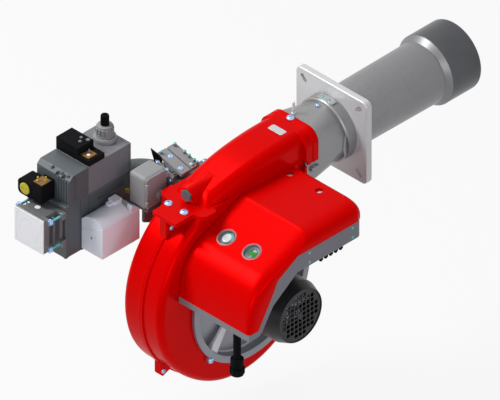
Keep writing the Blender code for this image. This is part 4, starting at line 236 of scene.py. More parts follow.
def finish_of(name, colour, second, edge, roughness, metallic=0.0, grain=400, bump=0.12, coat=0.0, patch=9.0,
              spread=0.08, wear=0.35, stretch=(1, 1, 1), pits=0.0, specular=0.3, tint=1):
    """A finish from the shared groups: mottled colour, worn edges and a fine grain."""
    material = bpy.data.materials.new(name)
    material.use_nodes = True
    tree = material.node_tree
    shader = fill(tree.nodes["Principled BSDF"], {"Metallic": metallic, "Coat Weight": coat, "Coat Roughness": 0.12,
                                                  "Specular IOR Level": specular, "Specular Tint": tone(tint)})
    mottle = add(tree, "ShaderNodeGroup", node_tree=MOTTLE)
    fill(mottle, {"Colour": tone(colour), "Second Colour": tone(second), "Patch Scale": patch,
                  "Roughness": roughness, "Roughness Spread": spread})
    worn = fill(add(tree, "ShaderNodeGroup", node_tree=WORN_EDGE), {"Edge Colour": tone(edge), "Amount": wear})
    fine = fill(add(tree, "ShaderNodeGroup", node_tree=GRAIN),
                {"Grain Scale": grain, "Stretch": stretch, "Pits": pits})
    relief = add(tree, "ShaderNodeBump", {"Strength": bump, "Distance": 0.0004})
    wire(tree, (mottle, "Colour", worn, "Colour"), (worn, "Colour", shader, "Base Color"),
         (mottle, "Roughness", shader, "Roughness"), (fine, "Height", relief, "Height"),
         (relief, "Normal", shader, "Normal"))
    return material


RED = finish_of("red enamel", (0.72, 0.0002, 0.0002), (0.66, 0.0002, 0.0001), (0.85, 0.003, 0.003), 0.3, 0.26,
                grain=520, bump=0.04, wear=0.25, spread=0.05, specular=0.07, tint=(1, 0.05, 0.05))
CAST = finish_of("cast aluminium", 0.33, (0.28, 0.28, 0.285), 0.6, 0.33, 0.5, 650, 0.14, pits=0.5)
FLANGE_GREY = finish_of("machined flange", (0.68, 0.685, 0.68), (0.62, 0.625, 0.625), 0.8, 0.36, 0.25, 500, 0.14)
TUBE = finish_of("drawn tube steel", (0.25, 0.25, 0.26), (0.215, 0.215, 0.22), 0.5, 0.36, 0.55, 300, 0.1,
                 stretch=(1, 0.08, 1))
SLEEVE = finish_of("heat-tinted sleeve steel", (0.105, 0.11, 0.115), (0.07, 0.072, 0.078), (0.32, 0.32, 0.33), 0.33,
                   0.6, 340, 0.1, patch=14, stretch=(1, 0.12, 1))
MOTOR_GREY = finish_of("painted motor casting", 0.25, 0.2, 0.5, 0.45, 0.2, 600, 0.18)
# Pale casting: part its own light colour, part painted light, made paler to make up for the hood's shadow over the
# spider.
PALE_CAST_PAINTED_LIGHT = finish_of("pale spider casting with painted light", (0.84, 0.84, 0.83), 0.76, 0.9, 0.4, 0.1, 500, 0.15)
DISH = finish_of("spun inlet dish", (0.3, 0.3, 0.335), (0.25, 0.25, 0.28), (0.55, 0.55, 0.58), 0.34, 0.5, 420, 0.1)
VALVE = finish_of("dark die casting", (0.105, 0.12, 0.128), (0.085, 0.098, 0.105), (0.26, 0.28, 0.28), 0.48, 0.2,
                  700, 0.22, pits=0.4)
COIL = finish_of("coil housing coating", (0.185, 0.185, 0.2), (0.16, 0.16, 0.172), (0.32, 0.32, 0.33), 0.5, 0.1, 620,
                 0.16)
PORT = finish_of("port flange casting", (0.19, 0.195, 0.195), (0.15, 0.155, 0.157), (0.4, 0.41, 0.41), 0.42, 0.3,
                 620, 0.2, pits=0.4)
SERVO = finish_of("servo case plastic", 0.31, (0.275, 0.275, 0.278), 0.42, 0.48, 0.0, 900, 0.12)
PANEL_GREY = finish_of("panel tray grey", (0.205, 0.205, 0.225), (0.175, 0.175, 0.19), 0.36, 0.5, 0.15, 700, 0.16)
BLACK = finish_of("moulded black plastic", (0.004, 0.004, 0.0045), (0.007, 0.007, 0.008), 0.035, 0.6, 0.0, 900, 0.18,
                  spread=0.12, specular=0.03)
HOOD_BLACK = finish_of("black fan hood", (0.018, 0.019, 0.02), (0.012, 0.012, 0.013), 0.09, 0.38, 0.1, 700, 0.14)
WHITE = finish_of("white unit plastic", (0.84, 0.86, 0.92), (0.8, 0.82, 0.88), (0.9, 0.91, 0.95), 0.38, 0.0, 700,
                  0.06)
PLATE_WHITE = finish_of("pale transport plate", 0.9, (0.84, 0.84, 0.85), 0.94, 0.5, 0.0, 500, 0.1)
ZINC = finish_of("blue zinc fastener", (0.42, 0.62, 0.9), (0.36, 0.54, 0.82), (0.78, 0.88, 0.98), 0.24, 0.55, 900,
                 0.06)
TEAL = finish_of("teal screw coating", (0.16, 0.62, 0.6), (0.1, 0.48, 0.5), (0.5, 0.85, 0.85), 0.28, 0.4, 900, 0.06)
BRASS = finish_of("turned brass", (0.55, 0.5, 0.1), (0.45, 0.38, 0.07), (0.8, 0.75, 0.3), 0.25, 0.8, 500, 0.06)
YELLOW = finish_of("yellow dial plastic", (0.56, 0.5, 0.025), (0.47, 0.41, 0.02), (0.7, 0.65, 0.1), 0.42, 0.0, 800,
                   0.08)
BROWN = finish_of("brown board", (0.22, 0.105, 0.02), (0.17, 0.075, 0.014), (0.36, 0.2, 0.06), 0.55, 0.0, 800, 0.15)
GREEN = finish_of("green lamp lens", (0.012, 0.26, 0.018), (0.01, 0.18, 0.012), (0.05, 0.5, 0.08), 0.16, 0.0, 300,
                  0.03, coat=0.6)
LAMP_TEAL = finish_of("teal lamp ring", (0.07, 0.55, 0.42), (0.05, 0.42, 0.33), (0.3, 0.7, 0.6), 0.2, 0.0, 500, 0.03,
                      coat=0.5)
LAMP_WHITE = finish_of("pale button face", (0.62, 0.66, 0.66), (0.55, 0.6, 0.6), 0.85, 0.25, 0.1, 500, 0.03, coat=0.4)
BEZEL = finish_of("lamp bezel metal", (0.2, 0.23, 0.26), (0.15, 0.18, 0.2), (0.6, 0.65, 0.7), 0.42, 0.35, 500, 0.05)
# Cooling fan: its own pale lavender, raised towards white as painted light that stands in for the light the fan hood
# keeps off it.
COOLER_PAINTED_LIGHT = finish_of("cooling fan with painted light", (0.93, 0.93, 0.98), (0.9, 0.9, 0.96), (0.9, 0.9, 0.95), 0.45, 0.0, 700, 0.08)
STEEL = finish_of("bright shaft steel", (0.42, 0.42, 0.43), (0.34, 0.34, 0.35), 0.7, 0.28, 0.85, 400, 0.08)
CERAMIC = finish_of("glazed ceramic", (0.72, 0.7, 0.64), (0.66, 0.63, 0.58), (0.85, 0.85, 0.82), 0.22, 0.0, 300,
                    0.03, coat=0.6)

CAD_FINISHES = (
    (VALVE, "actuator_bracket gas_elbow sight_plug valve_body valve_front_cover"),
    (SERVO, "actuator_nipple ignition_transformer servo_actuator"),
    (MOTOR_GREY, "adjuster_base adjuster_knob air_cam gas_cam motor_body"),
    (BLACK, "adjuster_cap conduit conduit_gland connector_block connector_row control_unit pressure_switch "
            "terminal_box"),
    (STEEL, "air_damper butterfly_disc cam_shaft diffuser_disc electrode_clamp gas_nozzle impeller motor_shaft"),
    (TUBE, "blast_tube gas_lance"),
    (FLANGE_GREY, "boiler_flange"),
    (CAST, "butterfly_body cast_head_body gas_chamber"),
    (COIL, "coil_housing"),
    (COOLER_PAINTED_LIGHT, "cooling_fan"),
    (HOOD_BLACK, "fan_grille motor_fan_cover"),
    (CERAMIC, "flame_probe ignition_electrode"),
    (PALE_CAST_PAINTED_LIGHT, "gas_manifold motor_spider"),
    (RED, "head_cover panel_cover scroll_left_half scroll_right_half"),
    (PORT, "inlet_flange"),
    (PLATE_WHITE, "inlet_plate"),
    (DISH, "inlet_ring"),
    (PANEL_GREY, "panel_base"),
    (BEZEL, "reset_bezel run_lamp_bezel"),
    (LAMP_WHITE, "reset_button"),
    (GREEN, "run_lamp_lens"),
    (YELLOW, "switch_dial"),
    (BRASS, "test_point"),
    (SLEEVE, "tube_end_sleeve"),
    (WHITE, "valve_prover"),
)


# Shapes in millimetres

def at(axis, along, a, b):
    """Point along an axis; a and b follow the two other axes in their order."""
    return Vector({"X": (along, a, b), "Y": (a, along, b), "Z": (a, b, along)}[axis])


def spun(radius, turn, x=0.0, y=0.0):
    """Point of a circle about (x, y), its turn in radians."""
    return x + radius * math.cos(turn), y + radius * math.sin(turn)


def made(name, builder):
    """Scene object from a bmesh, faces turned outwards."""
    bmesh.ops.recalc_face_normals(builder, faces=builder.faces)
    mesh = bpy.data.meshes.new(name)
    builder.to_mesh(mesh)
    builder.free()
    obj = bpy.data.objects.new(name, mesh)
    scene.collection.objects.link(obj)
    return obj


def filleted(points, steps=6, closed=True):
    """Polyline whose corners with a third value become arcs of that radius."""
    out = []
    count = len(points)
    for i, point in enumerate(points):
        here = Vector(point[:2])
        radius = point[2] if len(point) > 2 else 0
        if not radius or (not closed and i in (0, count - 1)):
            out.append(tuple(here))
            continue
        before = Vector(points[i - 1][:2]) - here
        after = Vector(points[(i + 1) % count][:2]) - here
        half = before.angle(after) / 2
        reach = min(radius / math.tan(half), before.length * 0.499, after.length * 0.499)
        radius = reach * math.tan(half)
        centre = here + (before.normalized() + after.normalized()).normalized() * (radius / math.sin(half))
        first = here + before.normalized() * reach - centre
        last = here + after.normalized() * reach - centre
        start = math.atan2(first.y, first.x)
        turn = math.remainder(math.atan2(last.y, last.x) - start, math.tau)
        out += [spun(radius, start + turn * k / steps, centre.x, centre.y) for k in range(steps + 1)]
    return out


def arc(centre, radius, start, end, steps):
    """Points of an arc between two angles in degrees."""
    return [spun(radius, math.radians(start + (end - start) * k / steps), *centre) for k in range(steps + 1)]


def rounded_rect(x0, y0, x1, y1, corner, steps=6):
    return filleted([(x0, y0, corner), (x1, y0, corner), (x1, y1, corner), (x0, y1, corner)], steps)


def lathe(name, profile, axis="Z", place=(0, 0, 0), sides=96, ring=True):
    """(radius, along) profile turned about an axis through a place."""
    builder = bmesh.new()
    place = Vector(place)
    rows = []
    for radius, along in profile:
        if radius < 1e-6:
            rows.append([builder.verts.new(place + at(axis, along, 0, 0))])
            continue
        rows.append([builder.verts.new(place + at(axis, along, *spun(radius, math.tau * k / sides)))
                     for k in range(sides)])
    for first, second in list(zip(rows, rows[1:])) + ([(rows[-1], rows[0])] if ring else []):
        for k in range(sides):
            n = (k + 1) % sides
            corners = [first[k % len(first)], first[n % len(first)], second[n % len(second)], second[k % len(second)]]
            corners = list(dict.fromkeys(corners))
            if len(corners) > 2:
                builder.faces.new(corners)
    return made(name, builder)


def turned(name, points, steps=3, axis="Z", place=(0, 0, 0), sides=96):
    """Round part with a rounded profile; a profile that starts on the axis is closed by the axis."""
    ring = points[0][0] != 0
    return lathe(name, filleted(points, steps, closed=ring), axis, place, sides, ring=ring)


def polygon(radius, x=0.0, y=0.0, count=6):
    return [spun(radius, math.tau * k / count, x, y) for k in range(count)]


def toothed(x, y, count, tooth):
    """Outline with equal teeth, each drawn by (share of its turn, radius)."""
    return [spun(radius, math.tau * (i + share) / count, x, y) for i in range(count) for share, radius in tooth]


def soften(builder, edges, width, segments=3):
    bmesh.ops.bevel(builder, geom=edges, offset=width, segments=segments, profile=0.5, affect="EDGES",
                    clamp_overlap=True)


def prism(name, outline, low, high, axis="Z", edge=0.0, segments=3, ends=(True, True)):
    """Outline drawn across an axis and carried from low to high, with rounded rims."""
    builder = bmesh.new()
    rows = [[builder.verts.new(at(axis, along, *point[:2])) for point in outline] for along in (low, high)]
    count = len(outline)
    for k in range(count):
        n = (k + 1) % count
        builder.faces.new((rows[0][k], rows[0][n], rows[1][n], rows[1][k]))
    caps = [builder.faces.new(row) for row in rows]
    bmesh.ops.recalc_face_normals(builder, faces=builder.faces)
    if edge:
        rims = [e for cap, wanted in zip(caps, ends) if wanted for e in cap.edges]
        soften(builder, rims, edge, segments)
    return made(name, builder)


def block(name, low, high, edge=0.0, segments=3):
    """Box between two corners, its edges rounded."""
    builder = bmesh.new()
    bmesh.ops.create_cube(builder, size=1)
    low, high = Vector(low), Vector(high)
    for vert in builder.verts:
        vert.co = Vector(low[i] + (high[i] - low[i]) * (vert.co[i] + 0.5) for i in range(3))
    if edge:
        soften(builder, list(builder.edges), edge, segments)
    return made(name, builder)


def rod(name, start, axis, radius, length, edge=0.0, tip=None, sides=48):
    """Round bar from its start along an axis, both rims rounded."""
    tip = radius if tip is None else tip
    return turned(name, [(0, 0), (radius, 0, edge), (tip, length, edge), (0, length)], 3, axis, start, sides)


def loft(name, sections, caps=True):
    """Skin through loops of points with equal counts."""
    builder = bmesh.new()
    rows = [[builder.verts.new(point) for point in section] for section in sections]
    count = len(rows[0])
    for first, second in zip(rows, rows[1:]):
        for k in range(count):
            n = (k + 1) % count
            builder.faces.new((first[k], first[n], second[n], second[k]))
    if caps:
        builder.faces.new(rows[0])
        builder.faces.new(rows[-1])
    return made(name, builder)


def baked(obj):
    """Plain mesh of an object with its modifiers applied."""
    bpy.context.view_layer.update()
    graph = bpy.context.evaluated_depsgraph_get()
    mesh = bpy.data.meshes.new_from_object(obj.evaluated_get(graph))
    obj.modifiers.clear()
    obj.data = mesh
    return obj


def combine(target, operation, tools):
    """Boolean of a shape with tools, which are used up."""
    for tool in tools:
        step = target.modifiers.new(operation, "BOOLEAN")
        step.operation = operation
        step.solver = "EXACT"
        step.object = tool
    baked(target)
    for tool in tools:
        bpy.data.objects.remove(tool, do_unlink=True)
    return target


def cut(target, *tools):
    return combine(target, "DIFFERENCE", tools)


def fuse(target, *tools):
    return combine(target, "UNION", tools)


def eased(target, width, segments=3, angle=40):
    """Rounded edges wherever faces meet at more than an angle."""
    step = target.modifiers.new("ease", "BEVEL")
    step.width = width
    step.segments = segments
    step.limit_method = "ANGLE"
    step.angle_limit = math.radians(angle)
    step.miter_outer = "MITER_ARC"
    return baked(target)


def moved(obj, matrix):
    obj.data.transform(matrix)
    return obj


def piece(name, body, parts, nodes=(), angle=32):
    """One piece in metres from shapes with their finishes, riding on a body."""
    builder = bmesh.new()
    materials = []
    for shape, material in parts:
        if material not in materials:
            materials.append(material)
        first = len(builder.faces)
        builder.from_mesh(shape.data)
        builder.faces.ensure_lookup_table()
        for face in builder.faces[first:]:
            face.material_index = materials.index(material)
        bpy.data.objects.remove(shape, do_unlink=True)
    bmesh.ops.remove_doubles(builder, verts=builder.verts, dist=0.002)
    bmesh.ops.scale(builder, vec=(MILLIMETRE,) * 3, verts=builder.verts)
    mesh = bpy.data.meshes.new(name)
    builder.to_mesh(mesh)
    builder.free()
    for material in materials:
        mesh.materials.append(material)
    mesh.shade_smooth()
    mesh.set_sharp_from_angle(angle=math.radians(angle))
    obj = bpy.data.objects.new(name, mesh)
    scene.collection.objects.link(obj)
    even = obj.modifiers.new("even_normals", "WEIGHTED_NORMAL")
    even.keep_sharp = True
    even.weight = 70
    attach(obj, body)
    if nodes:
        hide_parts(*nodes)


# Repeated pieces by geometry nodes

def repeat_tree():
    """Copies of one object on the points of a mesh, turned to each point's aim and scaled by its size."""
    tree = bpy.data.node_groups.new("copies on points", "GeometryNodeTree")
    for label, way, kind in (("Points", "INPUT", "Geometry"), ("Copied Piece", "INPUT", "Object"),
                             ("Finish", "INPUT", "Material"), ("Copies", "OUTPUT", "Geometry")):
        tree.interface.new_socket(name=label, in_out=way, socket_type="NodeSocket" + kind)
    given, out = add(tree, "NodeGroupInput"), add(tree, "NodeGroupOutput")
    source = add(tree, "GeometryNodeObjectInfo")
    aims = add(tree, "GeometryNodeInputNamedAttribute", data_type="FLOAT_VECTOR")
    sizes = add(tree, "GeometryNodeInputNamedAttribute", data_type="FLOAT")
    fill(aims, {"Name": "aim"})
    fill(sizes, {"Name": "size"})
    turn = add(tree, "FunctionNodeAlignRotationToVector", axis="Z")
    placed = add(tree, "GeometryNodeInstanceOnPoints")
    real = add(tree, "GeometryNodeRealizeInstances")
    finish = add(tree, "GeometryNodeSetMaterial")
    wire(tree, (given, "Points", placed, "Points"), (given, "Copied Piece", source, "Object"),
         (source, "Geometry", placed, "Instance"), (aims, "Attribute", turn, "Vector"),
         (turn, "Rotation", placed, "Rotation"), (sizes, "Attribute", placed, "Scale"),
         (placed, "Instances", real, "Geometry"), (real, "Geometry", finish, "Geometry"),
         (given, "Finish", finish, "Material"), (finish, "Geometry", out, "Copies"))
    return tree


REPEAT = repeat_tree()


def copies(name, pattern, places, material):
    """Shape of a pattern's copies at (place, aim, size), for use in a piece."""
    mesh = bpy.data.meshes.new(name)
    mesh.from_pydata([place for place, _, _ in places], [], [])
    mesh.attributes.new("aim", "FLOAT_VECTOR", "POINT")
    mesh.attributes.new("size", "FLOAT", "POINT")
    aims = mesh.attributes["aim"]
    sizes = mesh.attributes["size"]
    for k, (_, aim_to, size) in enumerate(places):
        aims.data[k].vector = aim_to
        sizes.data[k].value = size
    obj = bpy.data.objects.new(name, mesh)
    scene.collection.objects.link(obj)
    step = obj.modifiers.new("copies", "NODES")
    step.node_group = REPEAT
    for socket in REPEAT.interface.items_tree:
        if socket.name == "Copied Piece":
            step[socket.identifier] = pattern
        elif socket.name == "Finish":
            step[socket.identifier] = material
    baked(obj)
    return obj, material


def smooth_value(table, position):
    """Catmull-Rom value of a table at a position from 0 to 1."""
    spot = position * (len(table) - 1)
    i = min(int(spot), len(table) - 2)
    t = spot - i
    p0, p1, p2, p3 = table[max(i - 1, 0)], table[i], table[i + 1], table[min(i + 2, len(table) - 1)]
    return 0.5 * (2 * p1 + (p2 - p0) * t + (2 * p0 - 5 * p1 + 4 * p2 - p3) * t * t
                  + (3 * p1 - p0 - 3 * p2 + p3) * t * t * t)


# The red casing, its cover and the panel hood

CASING_RADIUS, CASING_START, CASING_SWEEP = 400, 58, 296
CASING_SHARES = (0.655, 0.660, 0.675, 0.705, 0.7425, 0.7825, 0.8275, 0.9275, 1.000, 1.020)
CASING_TOP = 12
OUTLET_FACE, OUTLET_FLOOR = -222.3, -88


def casing_outline(offset, top=0.0, outlet=0.0, steps=120):
    """Casing outline in (y, z), as in the CAD: volute, then the throat towards the boiler."""
    points = []
    for i in range(steps + 1):
        angle = math.radians(CASING_START - CASING_SWEEP * i / steps)
        radius = CASING_RADIUS * smooth_value(CASING_SHARES, i / steps) + offset
        points.append(spun(radius, angle, FAN.y, FAN.z))
    points[-1] = (points[-1][0], CASING_TOP)
    if top:
        points.append((points[-1][0], CASING_TOP + top))
    return points + [(OUTLET_FACE + outlet, CASING_TOP + top), (OUTLET_FACE + outlet, OUTLET_FLOOR - offset)]


def casing_layers(side, layers, top=0.0, outlet=0.0):
    return [[(side * x, y, z) for y, z in casing_outline(offset, top, outlet)] for x, offset in layers]


def sided(name, side, low, high, edge):
    if side < 0:
        low, high = (-high[0], *low[1:]), (-low[0], *high[1:])
    return block(name, low, high, edge)


def casing_half(name, side, openings):
    """Half of the casing: its flanged shell, foot, rim and outlet flange, hollowed out."""
    lip = [(0.15, 4.3), (0.45, 4.8), (0.9, 5), (6.8, 5), (7.5, 4.8), (8, 4.3), (8.2, 3.6), (8.25, 1.2),
           (8.6, 0.45), (9.4, 0)]
    edge = [(59 + 22 * math.sin(math.radians(a)), -22 * (1 - math.cos(math.radians(a)))) for a in range(0, 91, 9)]
    shell = loft(name, casing_layers(side, lip + edge))
    foot = prism("foot", filleted([(-766, -470), (-766, -540, 4), (-758, -550, 5), (-722, -536, 6), (-722, -450)]),
                 min(side * 0.15, side * 14), max(side * 0.15, side * 14), "X", 1.6, ends=(side < 0, side > 0))
    rim_end = -606 if side > 0 else -202
    fuse(shell, foot, sided("rim", side, (76, -646, 4), (92, rim_end, 12), 1.5),
         sided("outlet_flange", side, (0.15, -232.3, -102), (95, OUTLET_FACE, -4), 1.2))
    pocket = loft("pocket", casing_layers(side, [(-30, -5), (59, -5), (68, -8.5), (74, -14), (76, -22)], 30, 30))
    cut(shell, pocket, *openings)
    return shell


def casing_halves():
    foot_hole = [rod("hole", (-30, -757, -530), "X", 4.5, 60, sides=24) for _ in range(2)]
    inlet = rod("inlet", (30, FAN.y, FAN.z), "X", 230, 81, sides=128)
    right = casing_half("casing_right", 1, [foot_hole[0], inlet])
    port = rod("port", (-111, *GAS_AXIS), "X", 48, 60)
    damper = rod("damper_hole", (-111, -312, -66), "X", 5.6, 60, sides=24)
    left = casing_half("casing_left", -1, [foot_hole[1], port, damper])
    piece("casing_left_shell", ROOT, [(left, RED)], ["scroll_left_half"])
    piece("casing_right_shell", ROOT, [(right, RED)], ["scroll_right_half"])


def arch(y, half, top, bottom, corner, foot=0.0, steps=14):
    """Flat-bottomed arch across the cover, its feet flared by a small blend."""
    right = [(x, y, z) for x, z in arc((half - corner, top - corner), corner, 0, 90, steps)]
    blend = [(half + foot * (1 - math.sin(math.radians(a))), y, bottom + foot * (1 - math.cos(math.radians(a))))
             for a in (0, 22, 45, 67, 90)] if foot else [(half, y, bottom)]
    row = blend + right
    return row + [(-x, y, z) for x, _, z in reversed(row)]


COVER_SEAT = 12.3
HUMP_START, HUMP_LENGTH, HUMP_HEIGHT, HUMP_HALF = -624.5, 400, 94, 80.2
HUMP_TABLE = ((0.0, 0.16, 0.84), (0.030, 0.32, 0.855), (0.075, 0.47, 0.875), (0.140, 0.57, 0.90),
              (0.235, 0.68, 0.93), (0.385, 0.82, 0.97), (0.535, 0.91, 0.99), (0.73, 0.98, 1.0), (1.0, 1.0, 1.0))


def hermite_weights(t):
    """Shares of the first point, its slope, the second point and its slope."""
    return 2 * t ** 3 - 3 * t * t + 1, t ** 3 - 2 * t * t + t, 3 * t * t - 2 * t ** 3, t ** 3 - t * t


def hermite(table, place):
    """Smooth values of a table of (place, value, ...) rows at a place."""
    count = len(table)
    i = max(k for k in range(count - 1) if table[k][0] <= place or k == 0)

    def slope(k, column):
        parts = []
        if k > 0:
            parts.append((table[k][0] - table[k - 1][0],
                          (table[k][column] - table[k - 1][column]) / (table[k][0] - table[k - 1][0])))
        if k < count - 1:
            parts.append((table[k + 1][0] - table[k][0],
                          (table[k + 1][column] - table[k][column]) / (table[k + 1][0] - table[k][0])))
        if len(parts) == 1:
            return parts[0][1]
        return (parts[0][1] * parts[1][0] + parts[1][1] * parts[0][0]) / (parts[0][0] + parts[1][0])

    step = table[i + 1][0] - table[i][0]
    w0, w1, w2, w3 = hermite_weights((place - table[i][0]) / step)
    return [w0 * table[i][column] + w1 * (slope(i, column) * step) + w2 * table[i + 1][column]
            + w3 * (slope(i + 1, column) * step) for column in range(1, len(table[0]))]


def hump_rows(inset, bottom, overrun, foot=0.0):
    """Arches of the cover's hump, or of the room in it when inset."""
    rows = []
    places = [i / 14 * 0.14 for i in range(14)] + [0.14 + 0.86 * i / 26 for i in range(27)]
    for i, place in enumerate(places):
        height, width = hermite(HUMP_TABLE, place)
        y = HUMP_START + HUMP_LENGTH * place + (inset * 2 if i == 0 else 0) + (overrun if place == 1 else 0)
        top = COVER_SEAT + HUMP_HEIGHT * height - inset
        corner = min(36, (top - max(bottom, COVER_SEAT)) * 0.96)
        rows.append(arch(y, HUMP_HALF * width - inset, top, bottom, corner, foot))
    return rows


def cover_plan():
    return filleted([(60, -747, 5), (60, -672, 7), (98, -664, 26), (98, -612, 9), (81, -604, 5), (81, -226.5),
                     (-92, -226.5), (-92, -604, 5), (-98, -612, 9), (-98, -664, 26), (-43, -672, 7), (-43, -747, 5)],
                    8)


def cover_casting():
    cover = prism("cover", cover_plan(), COVER_SEAT, 27.8, "Z", 1.8, 3)
    hump = loft("hump", hump_rows(0, 20, 13.75, 6.5))
    ridge_rows = []
    for along, drop in ((0, 2.2), (0.6, 0.9), (2.2, 0), (22.6, 0), (23.4, 0.25), (24.0, 0.9), (24.9, 2.1),
                        (26.2, 2.5), (29.4, 2.5), (30.6, 2.1), (31.4, 0.9), (32.0, 0.25), (32.8, 0), (52.6, 0),
                        (54.2, 0.9), (54.9, 2.2)):
        ridge_rows.append(arch(-229.5 + along, 97 - drop, 106 - drop, 0, 45 - drop, steps=18))
    ridge = loft("ridge", ridge_rows)
    boss = rod("boss", (0, -640, 52.5), "Y", 24, 150, 2.5, sides=64)
    stem = block("stem", (-24, -639.7, 20), (24, -565, 52.5))
    rib = block("rib", (-12, -746.7, -51.7), (16, -646, 20), 1.6)
    for part in (hump, ridge, boss, stem, rib):
        fuse(cover, part)
    clear = loft("clear", [[(x, y, z) for y, z in casing_outline(5.3, 0.15)] for x in (-111, 111)])
    inner = loft("ridge_room", [arch(y, 91.5, 100.5, -30, 39.5) for y in (-224, -144)])
    cut(cover, clear, loft("hump_room", hump_rows(5, -30, 13.75)), inner)
    cut(cover, rod("sight", (0, -670, 52.5), "Y", 12, 180))
    piece("head_cover_casting", ROOT, [(cover, RED)], ["head_cover"], angle=28)


PANEL_OUTER = ((0.000, 0.000), (0.018, 0.255), (0.038, 0.397), (0.075, 0.526), (0.127, 0.631), (0.190, 0.709),
               (0.518, 0.965), (0.545, 0.984), (0.574, 0.989), (0.950, 1.000), (0.990, 0.984), (1.000, 0.935))
PANEL_PARTING = ((0.080, 0.000), (0.111, 0.104), (0.146, 0.218), (0.178, 0.328), (0.215, 0.450), (0.258, 0.593),
                 (0.400, 0.753), (0.424, 0.780), (0.471, 0.780), (0.950, 0.780), (0.990, 0.780), (1.000, 0.780))
PANEL_CORNERS = (0.27, 0.34, 0.42, 0.52, 0.62, 0.74, 1.0, 1.0, 1.0, 1.0, 1.0, 1.0)
PANEL_INSETS = (0, 0, 0, 0, 0, 0, 0, 0, 0, 0, 0.30, 0.70)
PANEL_STRAIGHT = (5, 8)
PANEL_STEPS = (9, 7, 7, 6, 6, 12, 6, 6, 12, 6, 5)
PANEL_FRONT, PANEL_FLOOR, PANEL_LENGTH, PANEL_HEIGHT = -759, -220.5, 488, 245.5
PANEL_LEFT, PANEL_RIGHT, PANEL_CORNER, PANEL_EDGE = 81.3, 381.3, 76, 6
LAMP_LEFT, LAMP_PITCH, LAMP_SHARE = 155.8, 107, 0.235


def panel_spot(share):
    """(y, z) of a share of the hood's length and height."""
    return Vector((PANEL_FRONT + PANEL_LENGTH * share[0], PANEL_FLOOR + PANEL_HEIGHT * share[1]))


def smooth_chain(points):
    """Finer points of a chain, straight where the hood is flat and rounded elsewhere."""
    points = [Vector(point) for point in points]
    count = len(points)
    tangents = []
    for k in range(count):
        before = (points[k] - points[k - 1]) if k else None
        after = (points[k + 1] - points[k]) if k < count - 1 else None
        if k in PANEL_STRAIGHT or before is None:
            tangents.append(after.normalized())
        elif k - 1 in PANEL_STRAIGHT or after is None:
            tangents.append(before.normalized())
        else:
            tangents.append((before.normalized() * after.length + after.normalized() * before.length).normalized())
    out = []
    for k in range(count - 1):
        reach = (points[k + 1] - points[k]).length
        for i in range(PANEL_STEPS[k]):
            w0, w1, w2, w3 = hermite_weights(i / PANEL_STEPS[k])
            out.append(w0 * points[k] + w1 * reach * tangents[k] + w2 * points[k + 1] + w3 * reach * tangents[k + 1])
    return out + [points[-1]]


def even_chain(values):
    """Values between the hood's stations, in equal steps."""
    out = []
    for k in range(len(values) - 1):
        out += [values[k] + (values[k + 1] - values[k]) * i / PANEL_STEPS[k] for i in range(PANEL_STEPS[k])]
    return out + [values[-1]]


def panel_rows():
    """Rows of the hood from its front to its rear, each from the left foot over the top to the right."""
    outers = smooth_chain([panel_spot(share) for share in PANEL_OUTER])
    partings = smooth_chain([panel_spot(share) for share in PANEL_PARTING])
    rows = []
    for outer, parting, corner_share, inset in zip(outers, partings, even_chain(PANEL_CORNERS),
                                                   even_chain(PANEL_INSETS)):
        along = (outer - parting).normalized()
        depth = (outer - parting).length
        right = PANEL_RIGHT - 30 * inset
        corner = PANEL_CORNER * corner_share
        edge = min(PANEL_EDGE, depth / 2)
        row = [(PANEL_LEFT, parting)]
        row += [(PANEL_LEFT, parting.lerp(outer - along * edge, k / 4)) for k in (1, 2, 3)]
        row += [(PANEL_LEFT + edge * (1 - math.cos(math.radians(a))),
                 outer - along * edge * (1 - math.sin(math.radians(a)))) for a in (0, 22.5, 45, 67.5, 90)]
        for i in range(25):
            angle = math.radians(90 * i / 24)
            row.append((right - corner + corner * math.sin(angle) ** (2 / 3),
                        outer - along * depth * 0.9 * (1 - math.cos(angle) ** (2 / 3))))
        row.append((right, parting))
        rows.append([(x, point.x, point.y) for x, point in row])
    return rows


def lamp_place(index, depth):
    """Local Z out of the sloping face, at a depth from it."""
    low, high = panel_spot(PANEL_OUTER[5]), panel_spot(PANEL_OUTER[6])
    spot = low.lerp(high, LAMP_SHARE)
    slope = (high - low).normalized()
    normal = Vector((0, -slope.y, slope.x))
    place = Vector((LAMP_LEFT + LAMP_PITCH * index, spot.x, spot.y)) + normal * depth
    return Matrix.Translation(place) @ normal.to_track_quat("Z", "Y").to_matrix().to_4x4()


HOOD_HOLES = ((113.3, -315), (237.3, -315))


def open_skin(name, rows):
    """Skin over the rows, open at its first row and along its edges, with its last row filled."""
    builder = bmesh.new()
    grid = [[builder.verts.new(point) for point in row] for row in rows]
    for first, second in zip(grid, grid[1:]):
        for k in range(len(first) - 1):
            builder.faces.new((first[k], first[k + 1], second[k + 1], second[k]))
    builder.faces.new(grid[-1])
    return made(name, builder)


def walled(obj, thickness):
    """Skin given a wall on its inner side."""
    step = obj.modifiers.new("wall", "SOLIDIFY")
    step.thickness = thickness
    step.offset = -1
    step.use_even_offset = True
    return baked(obj)


